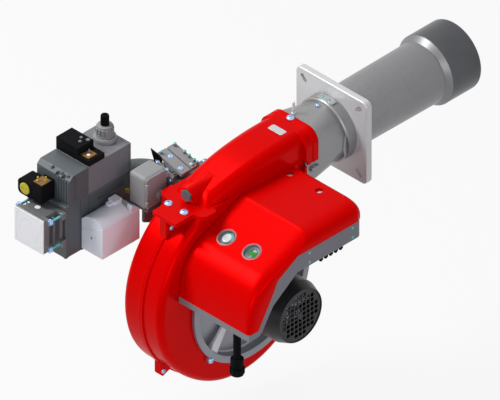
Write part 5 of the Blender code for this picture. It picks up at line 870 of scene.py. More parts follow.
def panel_hood():
    hood = walled(open_skin("hood", panel_rows()), 3)
    lamp_holes = [moved(rod("lamp_hole", (0, 0, -30), "Z", 28.8, 60, sides=96), lamp_place(k, 0)) for k in range(2)]
    cut(hood, *lamp_holes, *[rod("screw_hole", (x, y, -5), "Z", 12.8, 60, sides=64) for x, y in HOOD_HOLES])
    wells = []
    for x, y in HOOD_HOLES:
        wells.append((turned("well", [(14.2, 24.3), (14.2, 22.0), (13.9, 20.4), (13.9, 12), (4.5, 12),
                                      (4.5, 13.2, .6), (12.5, 13.2, 1), (12.5, 21.6, 1.4), (12.9, 24.6)], 3, "Z",
                             (x, y, 0), 64), RED))
        wells.append((turned("washer", [(3, 13.3), (12.2, 13.3), (12.2, 14.6, .4), (3, 14.6)], 2, "Z", (x, y, 0), 48),
                      LAMP_WHITE))
        wells.append((rod("screw", (x, y, 13.5), "Z", 5.8, 2.6, 1.0), PLATE_WHITE))
    piece("hood_screw_wells", ROOT, wells)
    piece("panel_hood_moulding", ROOT, [(hood, RED)], ["panel_cover"], angle=28)


def lamps():
    """Sunk cups with the reset button and the run lamp."""
    for index, node in ((0, "reset_bezel"), (1, "run_lamp_bezel")):
        inner = [(16.3, -9), (18.6, -9, .5), (19.2, -7.2, .6), (23.4, -7.2, .8), (24.6, -4.6, 1)]
        rim = [(24.9, 0.4, .8), (26.2, 1.6, .6), (28.4, 1.9, .5), (30.4, 1.7, .6), (31.45, 0.3)]
        outer = [(31.3, 0.2), (28.3, 0.15), (28.3, -24), (16.3, -24)]
        cup = turned("cup", inner + [(24.9, -1.5)] + rim + outer, 3, sides=96)
        red_band = turned("band", [(25.0, -3.6), (28.2, -3.6), (28.2, 1.0, .3), (26.9, 1.0, .3), (26.0, 0.1)], 2,
                          sides=96)
        parts = [(moved(cup, lamp_place(index, 0)), BEZEL), (moved(red_band, lamp_place(index, 1.1)), RED)]
        if index == 0:
            crescent = prism("crescent", arc((0, 0), 21.8, 12, 168, 36) + arc((-0.4, -3.4), 18.2, 166, 14, 36), -6.9,
                             -5.4, "Z", 0.5)
            parts.append((moved(crescent, lamp_place(index, 0) @ Matrix.Rotation(math.radians(-20), 4, "Z")),
                          LAMP_TEAL))
        piece("lamp_cup_reset" if index == 0 else "lamp_cup_run", ROOT, parts, [node])
    face = turned("face", [(0, -24), (16, -24), (16, -4.3, .6), (15.2, -3.1, .7), (13.2, -3.0, .4), (12.6, -3.7, .4),
                           (11.4, -3.8, .3), (0, -3.4)])
    piece("reset_button_cap", "reset_push", [(moved(face, lamp_place(0, 0.3)), LAMP_WHITE)], ["reset_button"])
    lens = turned("lens", [(0, -24), (15.9, -24), (15.9, -10.2, .8), (14.9, -9.1, .8), (8, -8.3, 3), (0, -8.0)], 4)
    piece("run_lamp_glass", ROOT, [(moved(lens, lamp_place(1, 0)), GREEN)], ["run_lamp_lens"])


# Fasteners

def bolt_head(name, radius, height, across=0.0):
    """Domed head with a socket, seated at the origin along +Z; across gives a hex flange head instead."""
    if across:
        shape = prism(name, polygon(across / math.sqrt(3)), 0.4, height, "Z", 0.7, 2)
        washer = lathe("washer", [(0, 0), (radius, 0), (radius, 0.9), (radius * 0.9, 1.3), (0, 1.3)], sides=40,
                       ring=False)
        return fuse(shape, washer)
    dome = [(0, height), (radius * 0.30, height), (radius * 0.62, height * 0.90), (radius * 0.85, height * 0.66),
            (radius * 0.97, height * 0.36), (radius, height * 0.14), (radius, 0), (0, 0)]
    shape = lathe(name, dome, sides=40, ring=False)
    return cut(shape, prism("socket", polygon(radius * 0.34), height * 0.45, height * 1.3))


def fasteners(name, pattern, places, material):
    """Copies of one head; the pattern itself is removed once they are made."""
    made_copies = copies(name, pattern, places, material)
    bpy.data.objects.remove(pattern, do_unlink=True)
    return made_copies


def cover_fasteners():
    places = [((-34, -685.5, 28), (0, 0, 1), 1.0), ((32, -685.8, 28), (0, 0, 1), 1.0),
              ((16.3, -723, -19), (1, 0, 0), 0.6), ((14.2, -756, -530), (1, 0, 0), 0.62),
              ((-9, -189, 106.2), (0, 0, 1), 0.95)]
    piece("cover_bolt_heads", ROOT, [fasteners("dome_bolts", bolt_head("dome", 13.5, 6.4), places, ZINC)])


# Head casting, mounting flange and blast tube

def head_section(y, half, low, high, corner, steps=40):
    """Rounded square of the head casting, its corners in the order of a circle's quarters."""
    points = []
    for x, z, start in ((half - corner, high - corner, 0), (-half + corner, high - corner, 90),
                        (-half + corner, low + corner, 180), (half - corner, low + corner, 270)):
        points += [(a, y, b) for a, b in arc((x, z), corner, start, start + 90, steps)]
    return points


def head_round(y, radius, flat=7, steps=40):
    """Round end of the head casting, with a short flat where each side runs out."""
    points = []
    for start in (0, 90, 180, 270):
        points += [(x, y, z) for x, z in arc((0, 0), radius, start + flat, start + 90 - flat, steps)]
    return points


def head_casting():
    body = loft("head_body", [head_section(-221.9, 88, -90, 96, 30), head_section(-172, 88, -90, 96, 30),
                              head_round(-62, 97), head_round(-58, 97)])
    collar = turned("collar", [(104, -62, 4), (108, -58, 3), (108, -24.3, 1.2), (80, -24.3), (80, -62)], 5, "Y",
                    sides=144)
    joint = prism("joint", rounded_rect(-33, -54, 33, -32, 3, 4), 80, 108.3, "Z", 0.8, ends=(False, True))
    lug = prism("side_lug", rounded_rect(78, -205, 97, -170, 9, 6), -34, -22, "Z", 1.2)
    fuse(body, collar, joint, lug)
    bore = loft("bore", [head_section(-222.5, 81, -83, 89, 24), head_section(-172, 81, -83, 89, 24),
                         head_round(-66, 90), head_round(-50, 90)])
    seat = rod("tube_seat", (0, -52, 0), "Y", 99.3, 30, sides=144)
    builder = bmesh.new()
    bmesh.ops.create_uvsphere(builder, u_segments=48, v_segments=32, radius=1)
    bmesh.ops.scale(builder, vec=(11, 10, 46), verts=builder.verts)
    bmesh.ops.translate(builder, vec=(101, -64, -14), verts=builder.verts)
    cut(body, bore, seat, made("lens", builder))
    eased(body, 0.5, 2, 40)
    pin = turned("pin", [(0, 0), (7, 0), (7, 5, 0.6), (5.0, 6.4, 0.4), (5.0, 44, 1.8), (0, 44)], 4, "Z",
                 (-29, -156, 95.2), 32)
    piece("head_body_casting", ROOT, [(body, CAST)], ["cast_head_body"], angle=3.6)
    piece("adjuster_pin", ROOT, [(pin, PALE_CAST_PAINTED_LIGHT)])
    places = [((-18, -43, 108.2), (0, 0, 1), 1.0), ((11, -43, 108.2), (0, 0, 1), 1.0),
              ((88, -190, -22.1), (0, 0, 1), 1.1)]
    screws = fasteners("joint_screws", bolt_head("joint_screw", 4.6, 2.2), places, TEAL)
    head = fasteners("head_bolt", bolt_head("head_bolt_shape", 7.4, 4.6), [((-5, -76, 97.6), (0, 0.06, 1), 1.0)],
                     ZINC)
    piece("head_casting_screws", ROOT, [screws, head])


def turned_slot(x, z, tilt, length, width, low, high):
    """Cutter for a round-ended slot through the flange."""
    half = (length - width) / 2
    line = arc((half, 0), width / 2, -90, 90, 12) + arc((-half, 0), width / 2, 90, 270, 12)
    c, s = math.cos(math.radians(tilt)), math.sin(math.radians(tilt))
    return prism("slot", [(x + a * c - b * s, z + a * s + b * c) for a, b in line], low, high, "Y")


def mounting_flange():
    plate = prism("flange", rounded_rect(-150, -150, 150, 150, 20, 10), -24, 0, "Y", 4.2, 5)
    slots = [turned_slot(x * 116, z * 117, 45 * x * z, 34, 14, -26, 2)
             for x, z in ((1, 1), (-1, 1), (-1, -1), (1, -1))]
    cut(plate, rod("flange_bore", (0, -26, 0), "Y", 99.3, 28, sides=144), *slots,
        block("parting", (106, -24.6, -0.35), (151, -23.6, 0.35)),
        block("parting_side", (149.5, -22, -0.35), (151, -2, 0.35)))
    eased(plate, 0.6, 2, 50)
    piece("mounting_flange_plate", ROOT, [(plate, FLANGE_GREY)], ["boiler_flange"])


def blast_pipe():
    profile = filleted([(99, -44), (99, 362, 3), (99, 364), (116.3, 380.4, 1.2), (116.3, 381.1), (111.7, 381.1),
                        (111.7, 411, 1), (107.7, 411), (107.7, 384), (95, 368), (95, -44)], 4)
    pipe = lathe("pipe", profile, "Y", sides=160)
    piece("blast_tube_pipe", ROOT, [(pipe, TUBE)], ["blast_tube"])
    profile = [(112.3, 381.3), (115.7, 381.3), (116.5, 382.1)] + arc((108.5, 496), 8, 0, 90, 8)
    profile += [(106.5, 503.9), (106, 503), (106, 500.4), (107, 499.8), (109, 498.8), (112.3, 495)]
    sleeve = lathe("sleeve", profile, "Y", sides=160)
    piece("flame_tube_sleeve", ROOT, [(sleeve, SLEEVE)], ["tube_end_sleeve"])


# Air inlet ring and motor

def around(angle, radius, x):
    """Point about the fan's axis."""
    return x, *spun(radius, math.radians(angle), FAN.y, FAN.z)


def inlet_dish():
    profile = filleted([(247, 81.3, 0.8), (247, 93, 2.6), (224, 93, 3), (224, 61, 7), (150, 61, 1.2), (150, 57, 1.2),
                        (228, 57, 6), (228, 81.3)], 5)
    dish = lathe("dish", profile, "X", FAN, 192)
    lugs = []
    for angle in DIAGONALS:
        turn = math.radians(angle)
        line = [(238, -12)] + arc((249.5, 0), 12, -90, 90, 12) + [(238, 12)]
        lugs.append(prism("lug", [(FAN.y + a * math.cos(turn) - b * math.sin(turn),
                                   FAN.z + a * math.sin(turn) + b * math.cos(turn)) for a, b in line], 81.5, 92.6,
                          "X", 1.4, 3, ends=(False, True)))
    fuse(dish, *lugs)
    piece("air_inlet_dish", ROOT, [(dish, DISH)], ["inlet_ring"])
    bolts = fasteners("ring_bolts", bolt_head("ring_bolt", 9.6, 6),
                      [(around(angle, 251, 92.4), (1, 0, 0), 1.0) for angle in DIAGONALS], ZINC)
    piece("inlet_ring_bolts", ROOT, [bolts])


def spider_frame():
    hub = turned("spider", [(50, 61.3, 1), (50, 71.3, 1), (100, 71.3, 2), (100, 61.3, 1)], 3, "X", FAN, 120)
    arms = []
    for angle in DIAGONALS:
        turn = Matrix.Translation(FAN) @ Matrix.Rotation(math.radians(angle), 4, "X")
        rows = []
        for radius, half, lift in ((90, 9, 0), (112, 10.4, 1.2), (200, 16.4, 12.4), (223, 18, 16)):
            line = filleted([(61.5 + lift, -half, 1.6), (71.1 + lift, -half, 2.4), (71.1 + lift, half, 2.4),
                             (61.5 + lift, half, 1.6)], 3)
            rows.append([turn @ Vector((x, radius, z)) for x, z in line])
        arms.append(loft("arm", rows))
    fuse(hub, *arms)
    piece("motor_spider_frame", ROOT, [(hub, PALE_CAST_PAINTED_LIGHT)], ["motor_spider"])


def fan_motor():
    fin = ((0, 80), (0.56, 80), (0.64, 81), (0.68, 87.4), (0.74, 88), (0.86, 88), (0.92, 87.4), (0.96, 81))
    fins = prism("fins", toothed(FAN.y, FAN.z, 32, fin), 86, 190, "X", 0.5, 2)
    core = turned("core", [(14.6, 71.6), (84, 71.6, 3), (90, 76, 3), (90, 86, 2), (70, 88), (70, 188), (98, 188, 1),
                           (101.2, 190.4, 1), (101.2, 207.6, 1), (14.6, 207.6)], 4, "X", FAN, 120)
    fuse(core, fins)
    piece("fan_motor_frame", ROOT, [(core, MOTOR_GREY)], ["motor_body"])
    box = block("terminals", (111.6, -499, -249.7), (187.6, -409, -204.0), 4, 4)
    gaps = (110, -500, 112.5, -408), (186.7, -500, 189, -408), (110, -500.5, 189, -498.2), (110, -409.8, 189, -407)
    cut(box, *[block("lid_gap", (x0, y0, -214.4), (x1, y1, -213.6)) for x0, y0, x1, y1 in gaps])
    screws = fasteners("lid_screws", bolt_head("lid_screw", 3.6, 1.6),
                       [((x, y, -204.4), (0, 0, 1), 1.0) for x in (118.5, 180.7) for y in (-492, -416)], BEZEL)
    piece("motor_terminal_housing", ROOT, [(box, BLACK)], ["terminal_box"])
    piece("terminal_lid_screws", ROOT, [screws])
    profile = filleted([(104, 200, 0.6), (104, 262, 5), (91, 297, 1.4), (87.8, 297, 0.5), (87.8, 292),
                        (101.5, 259.5, 4), (101.5, 200)], 5)
    hood = lathe("hood", profile, "X", FAN, 160)
    places = [(around(angle, 103.7, 204.5), (0, *spun(1, math.radians(angle))), 1.0) for angle in (20, 110, 200, 290)]
    screws = fasteners("hood_screws", bolt_head("hood_screw", 4.2, 1.5), places, BLACK)
    piece("motor_fan_hood", ROOT, [(hood, HOOD_BLACK), screws], ["motor_fan_cover"])


# Gas train

INLET_X, SPINDLE_X = -318, -180.3
ADJUSTER = (INLET_X, -671, 0)
DIAL = (-379, 0, 44.6)


def pipe_run(name, path, radius, bore):
    """Bent pipe along level points, open at both ends."""
    points = [Vector(point) for point in path]
    rows = []
    for k, point in enumerate(points):
        along = (points[min(k + 1, len(points) - 1)] - points[max(k - 1, 0)]).normalized()
        side = Vector((along.y, -along.x, 0))
        rows.append((point, side))
    rings = [[p + side * (size * math.cos(math.tau * i / 64)) + Vector((0, 0, size * math.sin(math.tau * i / 64)))
              for i in range(64)] for size, order in ((radius, rows), (bore, rows[::-1])) for p, side in order]
    return loft(name, rings + [rings[0]], caps=False)


def gas_pipework():
    low = GAS_AXIS[1]
    path = [(INLET_X, -628.6, low), (INLET_X, -620, low)]
    path += [(x, y, low) for x, y in arc((-223, -614), 95, 180, 90, 24)] + [(-206, *GAS_AXIS)]
    elbow = pipe_run("elbow", path, 45, 36)
    ends = ("Y", (INLET_X, -628.8, low)), ("X", (-217.8, *GAS_AXIS))
    collars = [turned("collar", [(36.2, 0), (36.2, 12), (55, 12, 2), (55, 0, 2)], 4, *end) for end in ends]
    piece("gas_elbow_casting", ROOT, [(elbow, VALVE)] + [(c, PORT) for c in collars], ["gas_elbow"])
    places = [((-218, *spun(49, math.radians(angle), *GAS_AXIS)), (-1, 0, 0), 1.0) for angle in DIAGONALS]
    bolts = fasteners("elbow_bolts", bolt_head("elbow_bolt", 5.4, 4.6, 9.5), places, ZINC)
    piece("gas_elbow_bolts", ROOT, [bolts])
    body = turned("butterfly", [(36, -205), (36, -155.6), (50, -155.6, 2), (50, -168, 1), (47.5, -170, 2),
                                (47.5, -190, 2), (50, -192, 1), (50, -205, 2)], 4, "X", (0, *GAS_AXIS), 96)
    fuse(body, rod("boss", (SPINDLE_X, -576.5, low), "Y", 13, 115, 1.5))
    cut(body, rod("bore", (-206, *GAS_AXIS), "X", 36, 60, sides=96),
        rod("spindle", (SPINDLE_X, -590, low), "Y", 5.7, 150))
    piece("butterfly_housing", ROOT, [(body, PORT)], ["butterfly_body"])
    block_shape = block("manifold", (-155, -585, -122), (-81.6, -405, -0.4), 9, 5)
    cut(block_shape, rod("bore", (-156, *GAS_AXIS), "X", 36, 80, sides=96),
        block("waist", (-126, -590, -90), (-108, -399, -26), 0))
    web = block("web", (-128, -581, -92), (-106, -409, -24))
    cut(web, rod("bore", (-129, *GAS_AXIS), "X", 36, 30, sides=96))
    fuse(block_shape, web)
    eased(block_shape, 0.8, 2, 45)
    screws = fasteners("manifold_screws", bolt_head("manifold_screw", 6, 4),
                       [((-142, y, -0.6), (0, 0, 1), 1.0) for y in (-568, -470, -424)], ZINC)
    piece("gas_manifold_block", ROOT, [(block_shape, PORT), screws], ["gas_manifold"])


def valve_casting():
    body = block("valve", (-388, -909, -172), (-248, -629, 16), 2.4, 3)
    cutters = [block("side_slot", (-252, -770, -22), (-246, -661, -1)),
               block("front_line", (-249.2, -846.2, -175), (-247, -844.8, 18)),
               block("front_line_left", (-389, -846.2, -175), (-386.8, -844.8, 18)),
               block("middle_line", (-249, -810.8, -175), (-247, -809.8, 18)),
               block("left_recess", (-390, -820, -130), (-384, -700, -40))]
    cutters += [rod("corner_hole", (x, -630, z), "Y", 4, 3, sides=24) for x in (-374, -262) for z in (-158, 4)]
    cut(body, *cutters)
    ridge = prism("edge_rib", rounded_rect(-252, -905, -247.4, -850, 1.6, 3), -168, 12, "Z", 0.8)
    notch = prism("slot_wedge", [(-672, -2.2), (-661.5, -2.2), (-661.5, -20)], -252, -250.6, "X")
    lip = block("lower_lip", (-249, -842, -172), (-246.6, -712, -166), 0.8)
    fuse(body, ridge, notch, lip)
    eased(body, 0.5, 2, 45)
    feet = [rod("foot", (x, y, -177), "Z", 7, 7, 1.5) for x in (-378, -258) for y in (-899, -639)]
    piece("gas_valve_casting", ROOT, [(body, VALVE)] + [(foot, VALVE) for foot in feet], ["valve_body"])


def valve_cover():
    outline = filleted([(-891.5, 16.4), (-810.4, 16.4), (-810.4, 117, 1.2), (-877, 117, 2.5), (-891.5, 103, 2.5)], 4)
    cover = prism("cover", outline, -387.7, -248.3, "X", 1.2)
    rib = filleted([(-880, 17), (-880, 112, 1), (-884, 110, 2), (-894, 99, 3), (-894, 17)], 3)
    middles = [-248 - 11 * (i + 0.5) for i in range(5)]
    ribs = [prism("rib", rib, x - 2.0, x + 2.0, "X", 0.8) for x in middles]
    ribs += [prism("side_ridge", rounded_rect(y - 1.5, 18, y + 1.5, 116.6, 1.2, 3), -249, -246.2, "X", 0.6,
                   ends=(False, True)) for y in (-872, -866.5)]
    ribs.append(block("ridge_top", (-254, -873.5, 112), (-246.2, -865, 119), 1.2))
    ribs += [rod("scallop_boss", (x, -881, 98), "Z", 6.5, 18.8, 1.2, sides=32) for x in (-264, -290)]
    fuse(cover, *ribs)
    scallops = [rod("scallop", (x, -889, 100), "Z", 7.5, 24, sides=32) for x in (-277, -303)]
    cut(cover, *scallops)
    eased(cover, 0.4, 2, 45)
    nipple = turned("nipple", [(0, 0), (5, 0), (5, 4, 0.6), (3.4, 5, 0.3), (3.4, 17, 0.4), (4.6, 18, 0.5),
                               (4.6, 24, 0.8), (0, 24)], 3, "Z", (-332, -884, 98), 32)
    piece("valve_cover_casting", ROOT, [(cover, VALVE), (nipple, BEZEL)], ["valve_front_cover"])
    coil = block("coil", (-387.7, -809.8, 16.5), (-248.3, -629.3, 117), 1.6, 3)
    cut(coil, block("seam", (-249, -640.8, 16), (-247, -640, 118)),
        block("seam_top", (-389, -640.8, 116.4), (-247, -640, 118)))
    piece("coil_case", ROOT, [(coil, COIL)], ["coil_housing"])


def coil_connector():
    outline = filleted([(-388, 117.4), (-248, 117.4), (-248, 137.2, 2), (-294, 137.2, 2), (-294, 161.8, 3),
                        (-388, 161.8, 3)], 4)
    body = prism("connector", outline, -810, -742, "Y", 2.2)
    cut(body, block("lid_gap", (-389, -811, 147.4), (-293, -741, 148.2)))
    parts = [(body, BLACK), (block("gap_core", (-386.8, -808.8, 147.2), (-295.2, -743.2, 148.4)), BLACK)]
    board = block("board", (-291.5, -801, 136.9), (-259, -764, 138.6), 0.5)
    pins = [rod("pin", (-280, -776, 138.4), "Z", 3.4, 8, 0.8), rod("pin_tip", (-280, -776, 146), "Z", 1.8, 5, 0.5)]
    disc = rod("screw", (-272, -787, 138.4), "Z", 5.2, 1.6, 0.5)
    parts += [(board, BROWN), (disc, PLATE_WHITE)] + [(pin, BEZEL) for pin in pins]
    for x, y, radius in ((-318, -777, 3.4), (-307, -754, 4.6), (-330, -760, 3.0)):
        parts.append((turned("screw", [(0, 161.6), (radius + 2, 161.6), (radius + 2, 162.6, 0.5), (radius, 162.8),
                                       (radius, 164.4, 0.6), (0, 164.4)], 3, "Z", (x, y, 0), 32), BEZEL))
    piece("coil_plug_block", ROOT, parts, ["connector_block"])


def flow_adjuster():
    base = turned("base", [(30, 117.3), (36, 117.3, 0.6), (36, 127, 1.5), (33.6, 133.2, 1), (30, 133.2)], 4, "Z",
                  ADJUSTER, 96)
    floor = rod("floor", (-318, -671, 117.3), "Z", 31, 15.9)
    fuse(base, floor)
    piece("adjuster_seat", ROOT, [(base, SERVO)], ["adjuster_base"])
    rib = ((0.0, 25.2), (0.36, 25.2), (0.44, 28.0), (0.54, 28.2), (0.84, 28.2), (0.94, 28.0))
    ribs = prism("ribs", toothed(*ADJUSTER[:2], 14, rib), 133.8, 164, "Z", 0.8)
    top = turned("top", [(0, 162), (24.4, 162), (24.4, 171.2, 1.8), (0, 171.2)], 4, "Z", ADJUSTER, 96)
    foot = turned("foot", [(0, 133.6), (28.2, 133.6, 0.6), (28.2, 140, 1.2), (0, 140)], 3, "Z", ADJUSTER, 96)
    fuse(ribs, top, foot)
    piece("adjuster_ribbed_knob", "flow_knob", [(ribs, SERVO)], ["adjuster_knob"])
    cap = turned("cap", [(0, 171.5), (13.5, 171.5, 0.6), (13.5, 200, 1.2), (12.6, 206.1, 2.2), (4, 206.1, 0.6),
                         (3.4, 203), (0, 203)], 4, "Z", ADJUSTER, 64)
    cut(cap, block("pin_slot", (-306, -673, 182), (-303, -669, 186)))
    piece("adjuster_black_cap", "flow_knob", [(cap, BLACK)], ["adjuster_cap"])


def pressure_unit():
    body = block("switch", (-351.2, -950.2, 16.4), (-310, -892.4, 83), 3, 4)
    outline = filleted([(-411, 16.4, 16), (-351, 16.4), (-351, 71, 2), (-411, 71, 14)], 6)
    chamber = prism("chamber", outline, -950.2, -892.4, "Y", 2.4, 3)
    fuse(body, chamber)
    eased(body, 0.4, 2, 50)
    ring = turned("dial_seat", [(19.8, -950.6), (22.4, -950.6, 0.6), (22.4, -949, 0.3), (19.8, -949)], 2, "Y",
                  DIAL, 64)
    board = block("board", (-349, -946, 82.8), (-313, -906, 84.4), 0.5)
    pins = [rod("pin", (x, y, 84.2), "Z", 2.6, 15, 0.6) for x, y in ((-341, -934), (-323, -918))]
    nuts = [prism("nut", polygon(4.8, x, y), 84.3, 88, "Z", 0.5) for x, y in ((-341, -934), (-323, -918))]
    piece("pressure_switch_case", ROOT,
          [(body, BLACK), (ring, BLACK), (board, BROWN)] + [(shape, BRASS) for shape in pins + nuts],
          ["pressure_switch"])
    dial = turned("dial", [(0, -950.7), (19.5, -950.7), (19.5, -953.6, 0.8), (16, -954.2, 0.6), (0, -954.2)], 3, "Y",
                  DIAL, 64)
    cut(dial, block("slot", (-391, -955, 42.6), (-367, -952.8, 46.6)))
    piece("pressure_dial_face", "pressure_dial", [(dial, YELLOW)], ["switch_dial"])


def inlet_port():
    body = block("port", (-379, -992.4, -119), (-257, -909.4, 3), 4, 4)
    grooves = [block("groove", (x, -972, low), (x + 22, -926, high)) for low, high in ((-100, 10), (-130, -84))
               for x in (-273, -385)]
    cut(body, *grooves, block("top_line", (-362, -985.4, 0.6), (-258, -983.6, 5)),
        block("top_dent", (-372, -968, -1), (-352, -936, 5)), rod("plug_seat", (-325, -951, 1), "Z", 9.6, 4, sides=48),
        rod("bore", (INLET_X, -995, GAS_AXIS[1]), "Y", 33, 60, sides=96))
    ribs = [block("web", (x, -950.5, -112), (x + 15, -945.5, -6), 1) for x in (-273.5, -376.5)]
    ears = [block("ear", (x, -928, z), (x + 16, -909.6, z + 24), 3) for x in (-259, -393) for z in (-20, -120)]
    fuse(body, *ribs, *ears)
    eased(body, 0.8, 2, 50)
    plug = turned("plug", [(0, 1), (9.2, 1), (9.2, 3.8, 0.8), (0, 3.8)], 3, "Z", (-325, -951, 0), 48)
    piece("inlet_port_flange", ROOT, [(body, PORT), (plug, WHITE)], ["inlet_flange"])
    corners = [(x, z) for x in (-253, -383) for z in (-8, -108)]
    heads = fasteners("inlet_bolts", bolt_head("inlet_bolt", 11, 10.5, 18),
                      [((x, -968, z), (0, -1, 0), 1.0) for x, z in corners], ZINC)
    shanks = [(rod("shank", (x, -969, z), "Y", 3.6, 58, 0.8), TEAL) for x, z in corners]
    rings = [(rod("ring", (x, -969 + 3 * i, z), "Y", 4.1, 1.3, 0.3, sides=24), TEAL) for x, z in corners
             for i in range(4, 19)]
    piece("inlet_port_bolts", ROOT, [heads] + shanks + rings)
    plate = block("plate", (-379, -995.9, -119), (-257, -993, 3), 1.0, 3)
    x, z = INLET_X, GAS_AXIS[1]
    groove = lathe("groove", [(38, -996.6), (39.5, -996.6), (39.5, -995.1), (38, -995.1)], "Y", (x, 0, z), 128)
    square = [prism("line", rounded_rect(x - half, z - half, x + half, z + half, corner, 6), -996.6, end, "Y")
              for half, corner, end in ((51.2, 15, -995.2), (50.2, 14, -993.9))]
    cut(square[0], square[1])
    cut(plate, groove, square[0])
    piece("inlet_cover_plate", ROOT, [(plate, PLATE_WHITE)], ["inlet_plate"])


def prover_unit():
    outline = [(-247.7, -164), (-159, -164), (-158, -163)]
    outline += arc((-202.9, -88.5), 55.5, 36.2, 143.8, 28)
    body = prism("prover", outline, -842, -722, "Y", 1.4)
    back = block("back", (-247.6, -724, -164), (-158, -683, -54), 1.6)
    nub = prism("nub", rounded_rect(-231.7, -746, -201.7, -714, 3, 3), -60, -21, "Z", 1.4, ends=(False, True))
    nub_low = prism("nub_low", rounded_rect(-226, -762, -209, -740, 3, 3), -60, -26, "Z", 1.2, ends=(False, True))
    fin = prism("fin", filleted([(-720, -56), (-683.6, -56), (-686, -48, 2), (-714, -30, 2)], 3), -180, -160, "X",
                0.8)
    ridge = prism("ridge", [(-246.5, -95), (-246.5, -100), (-158.6, -60), (-158.6, -54.6)], -843, -838, "Y", 1.0,
                  ends=(True, False))
    strip = prism("strip", rounded_rect(-165.5, -163.4, -158.2, -57, 1.5, 3), -843, -838, "Y", 1.0,
                  ends=(True, False))
    fuse(body, back, nub, nub_low, fin, ridge, strip)
    cut(body, block("mark_line", (-187, -844, -124), (-186.2, -841.4, -96)),
        block("side_line", (-158.6, -724.4, -162), (-157, -723.6, -56)))
    eased(body, 0.6, 2, 45)
    screw = turned("screw", [(0, -840.6), (5, -840.6), (5, -843, 1), (2.2, -843.2), (2.2, -842), (0, -842)], 3, "Y",
                   (-203, 0, -106), 32)
    piece("valve_proving_case", ROOT, [(body, WHITE), (screw, ZINC)], ["valve_prover"])
    point = turned("point", [(0, -247.7), (8, -247.7), (8, -243, 1), (4.6, -242.4), (4.6, -238), (6, -237.5, 0.6),
                             (6, -233.8, 1), (0, -233.8)], 3, "X", (0, -650, -44), 32)
    piece("brass_test_point", ROOT, [(point, BRASS)], ["test_point"])


# Servo, its bracket and cams

CAMS = Vector((-163, 0, 20))
CAM_TILT, CAM_TOP = -14.3, 31.6


def servo_unit():
    body = block("servo", (-202, -688.5, -48), (-127.6, -594.7, 68), 13, 7)
    face = prism("face", rounded_rect(-684, -44, -599, 64, 9, 5), -140, -127, "X", 0.8, ends=(False, True))
    corners = (-689, -677, 33, 49), (-689, -677, -30, -16), (-606, -594.6, 38, 52), (-606, -594.6, -36, -22)
    lugs = [block("lug", (-131, y0, z0), (-121, y1, z1), 1.8) for y0, y1, z0, z1 in corners]
    arms = [block("strap", (-129, -683, low), (-125, -679, high), 0.8) for low, high in ((-6, 34), (-44, -14))]
    fuse(body, face, *lugs, *arms)
    cut(body, rod("shaft", (CAMS.x, -600, CAMS.z), "Y", 13.6, 10, sides=48))
    piece("servo_case", ROOT, [(body, SERVO)], ["servo_actuator"])
    nut = prism("nipple", polygon(15, -631.6, -9), -126.7, -117, "X", 1.0)
    neck = turned("neck", [(0, -118), (12.4, -118), (12.4, -111, 1.2), (8.4, -110.8, 0.4), (8, -115), (0, -115)], 3,
                  "X", (0, -631.6, -9), 48)
    piece("cable_nipple", ROOT, [(nut, SERVO), (neck, PORT)], ["actuator_nipple"])
    plate = block("bracket", (-202, -594.2, -122), (-107, -585.3, 38), 1.6)
    shelf = block("shelf", (-202, -682.7, -56.3), (-127, -586, -48.4), 1.4)
    gusset = prism("gusset", [(-590, -52.6), (-672.7, -52.6), (-672.7, -107), (-642.7, -121.7), (-590, -121.7)],
                   -160, -150, "X", 1.2)
    fuse(plate, shelf, gusset)
    cut(plate, rod("window", (CAMS.x, -600, CAMS.z), "Y", 13.6, 20, sides=48))
    eased(plate, 0.6, 2, 50)
    places = [((x, -594, z), (0, -1, 0), 1.0) for x, z in ((-117, 26), (-117, -110), (-190, -110))]
    screws = fasteners("bracket_screws", bolt_head("bracket_screw", 5.4, 4), places, ZINC)
    piece("servo_bracket", ROOT, [(plate, PORT), screws], ["actuator_bracket"])


def cam_point(x, z):
    """Point of a cam, given in the cam's own frame, in the frame of the object."""
    c, s = math.cos(math.radians(CAM_TILT)), math.sin(math.radians(CAM_TILT))
    return CAMS.x + x * c - z * s, CAMS.z + x * s + z * c


def cam_outline(half=54, low=19.4, high=CAM_TOP, hub=13):
    """Straight cam with a round hub under its middle."""
    line = [(-half, high), (-half, low), (-24, low)] + arc((0, 0), hub, 196, 344, 14)
    line += [(24, low), (half, low), (half, high)]
    return [cam_point(x, z) for x, z in line]


def flat_screw(name, radius, height):
    dome = filleted([(0, 0), (radius, 0), (radius, height * 0.5, 0.6), (radius * 0.7, height, 0.8), (0, height)], 3,
                    closed=False)
    return cut(lathe(name, dome, sides=32, ring=False),
               block("slot", (-radius * 1.2, -0.7, height * 0.55), (radius * 1.2, 0.7, height * 2)))


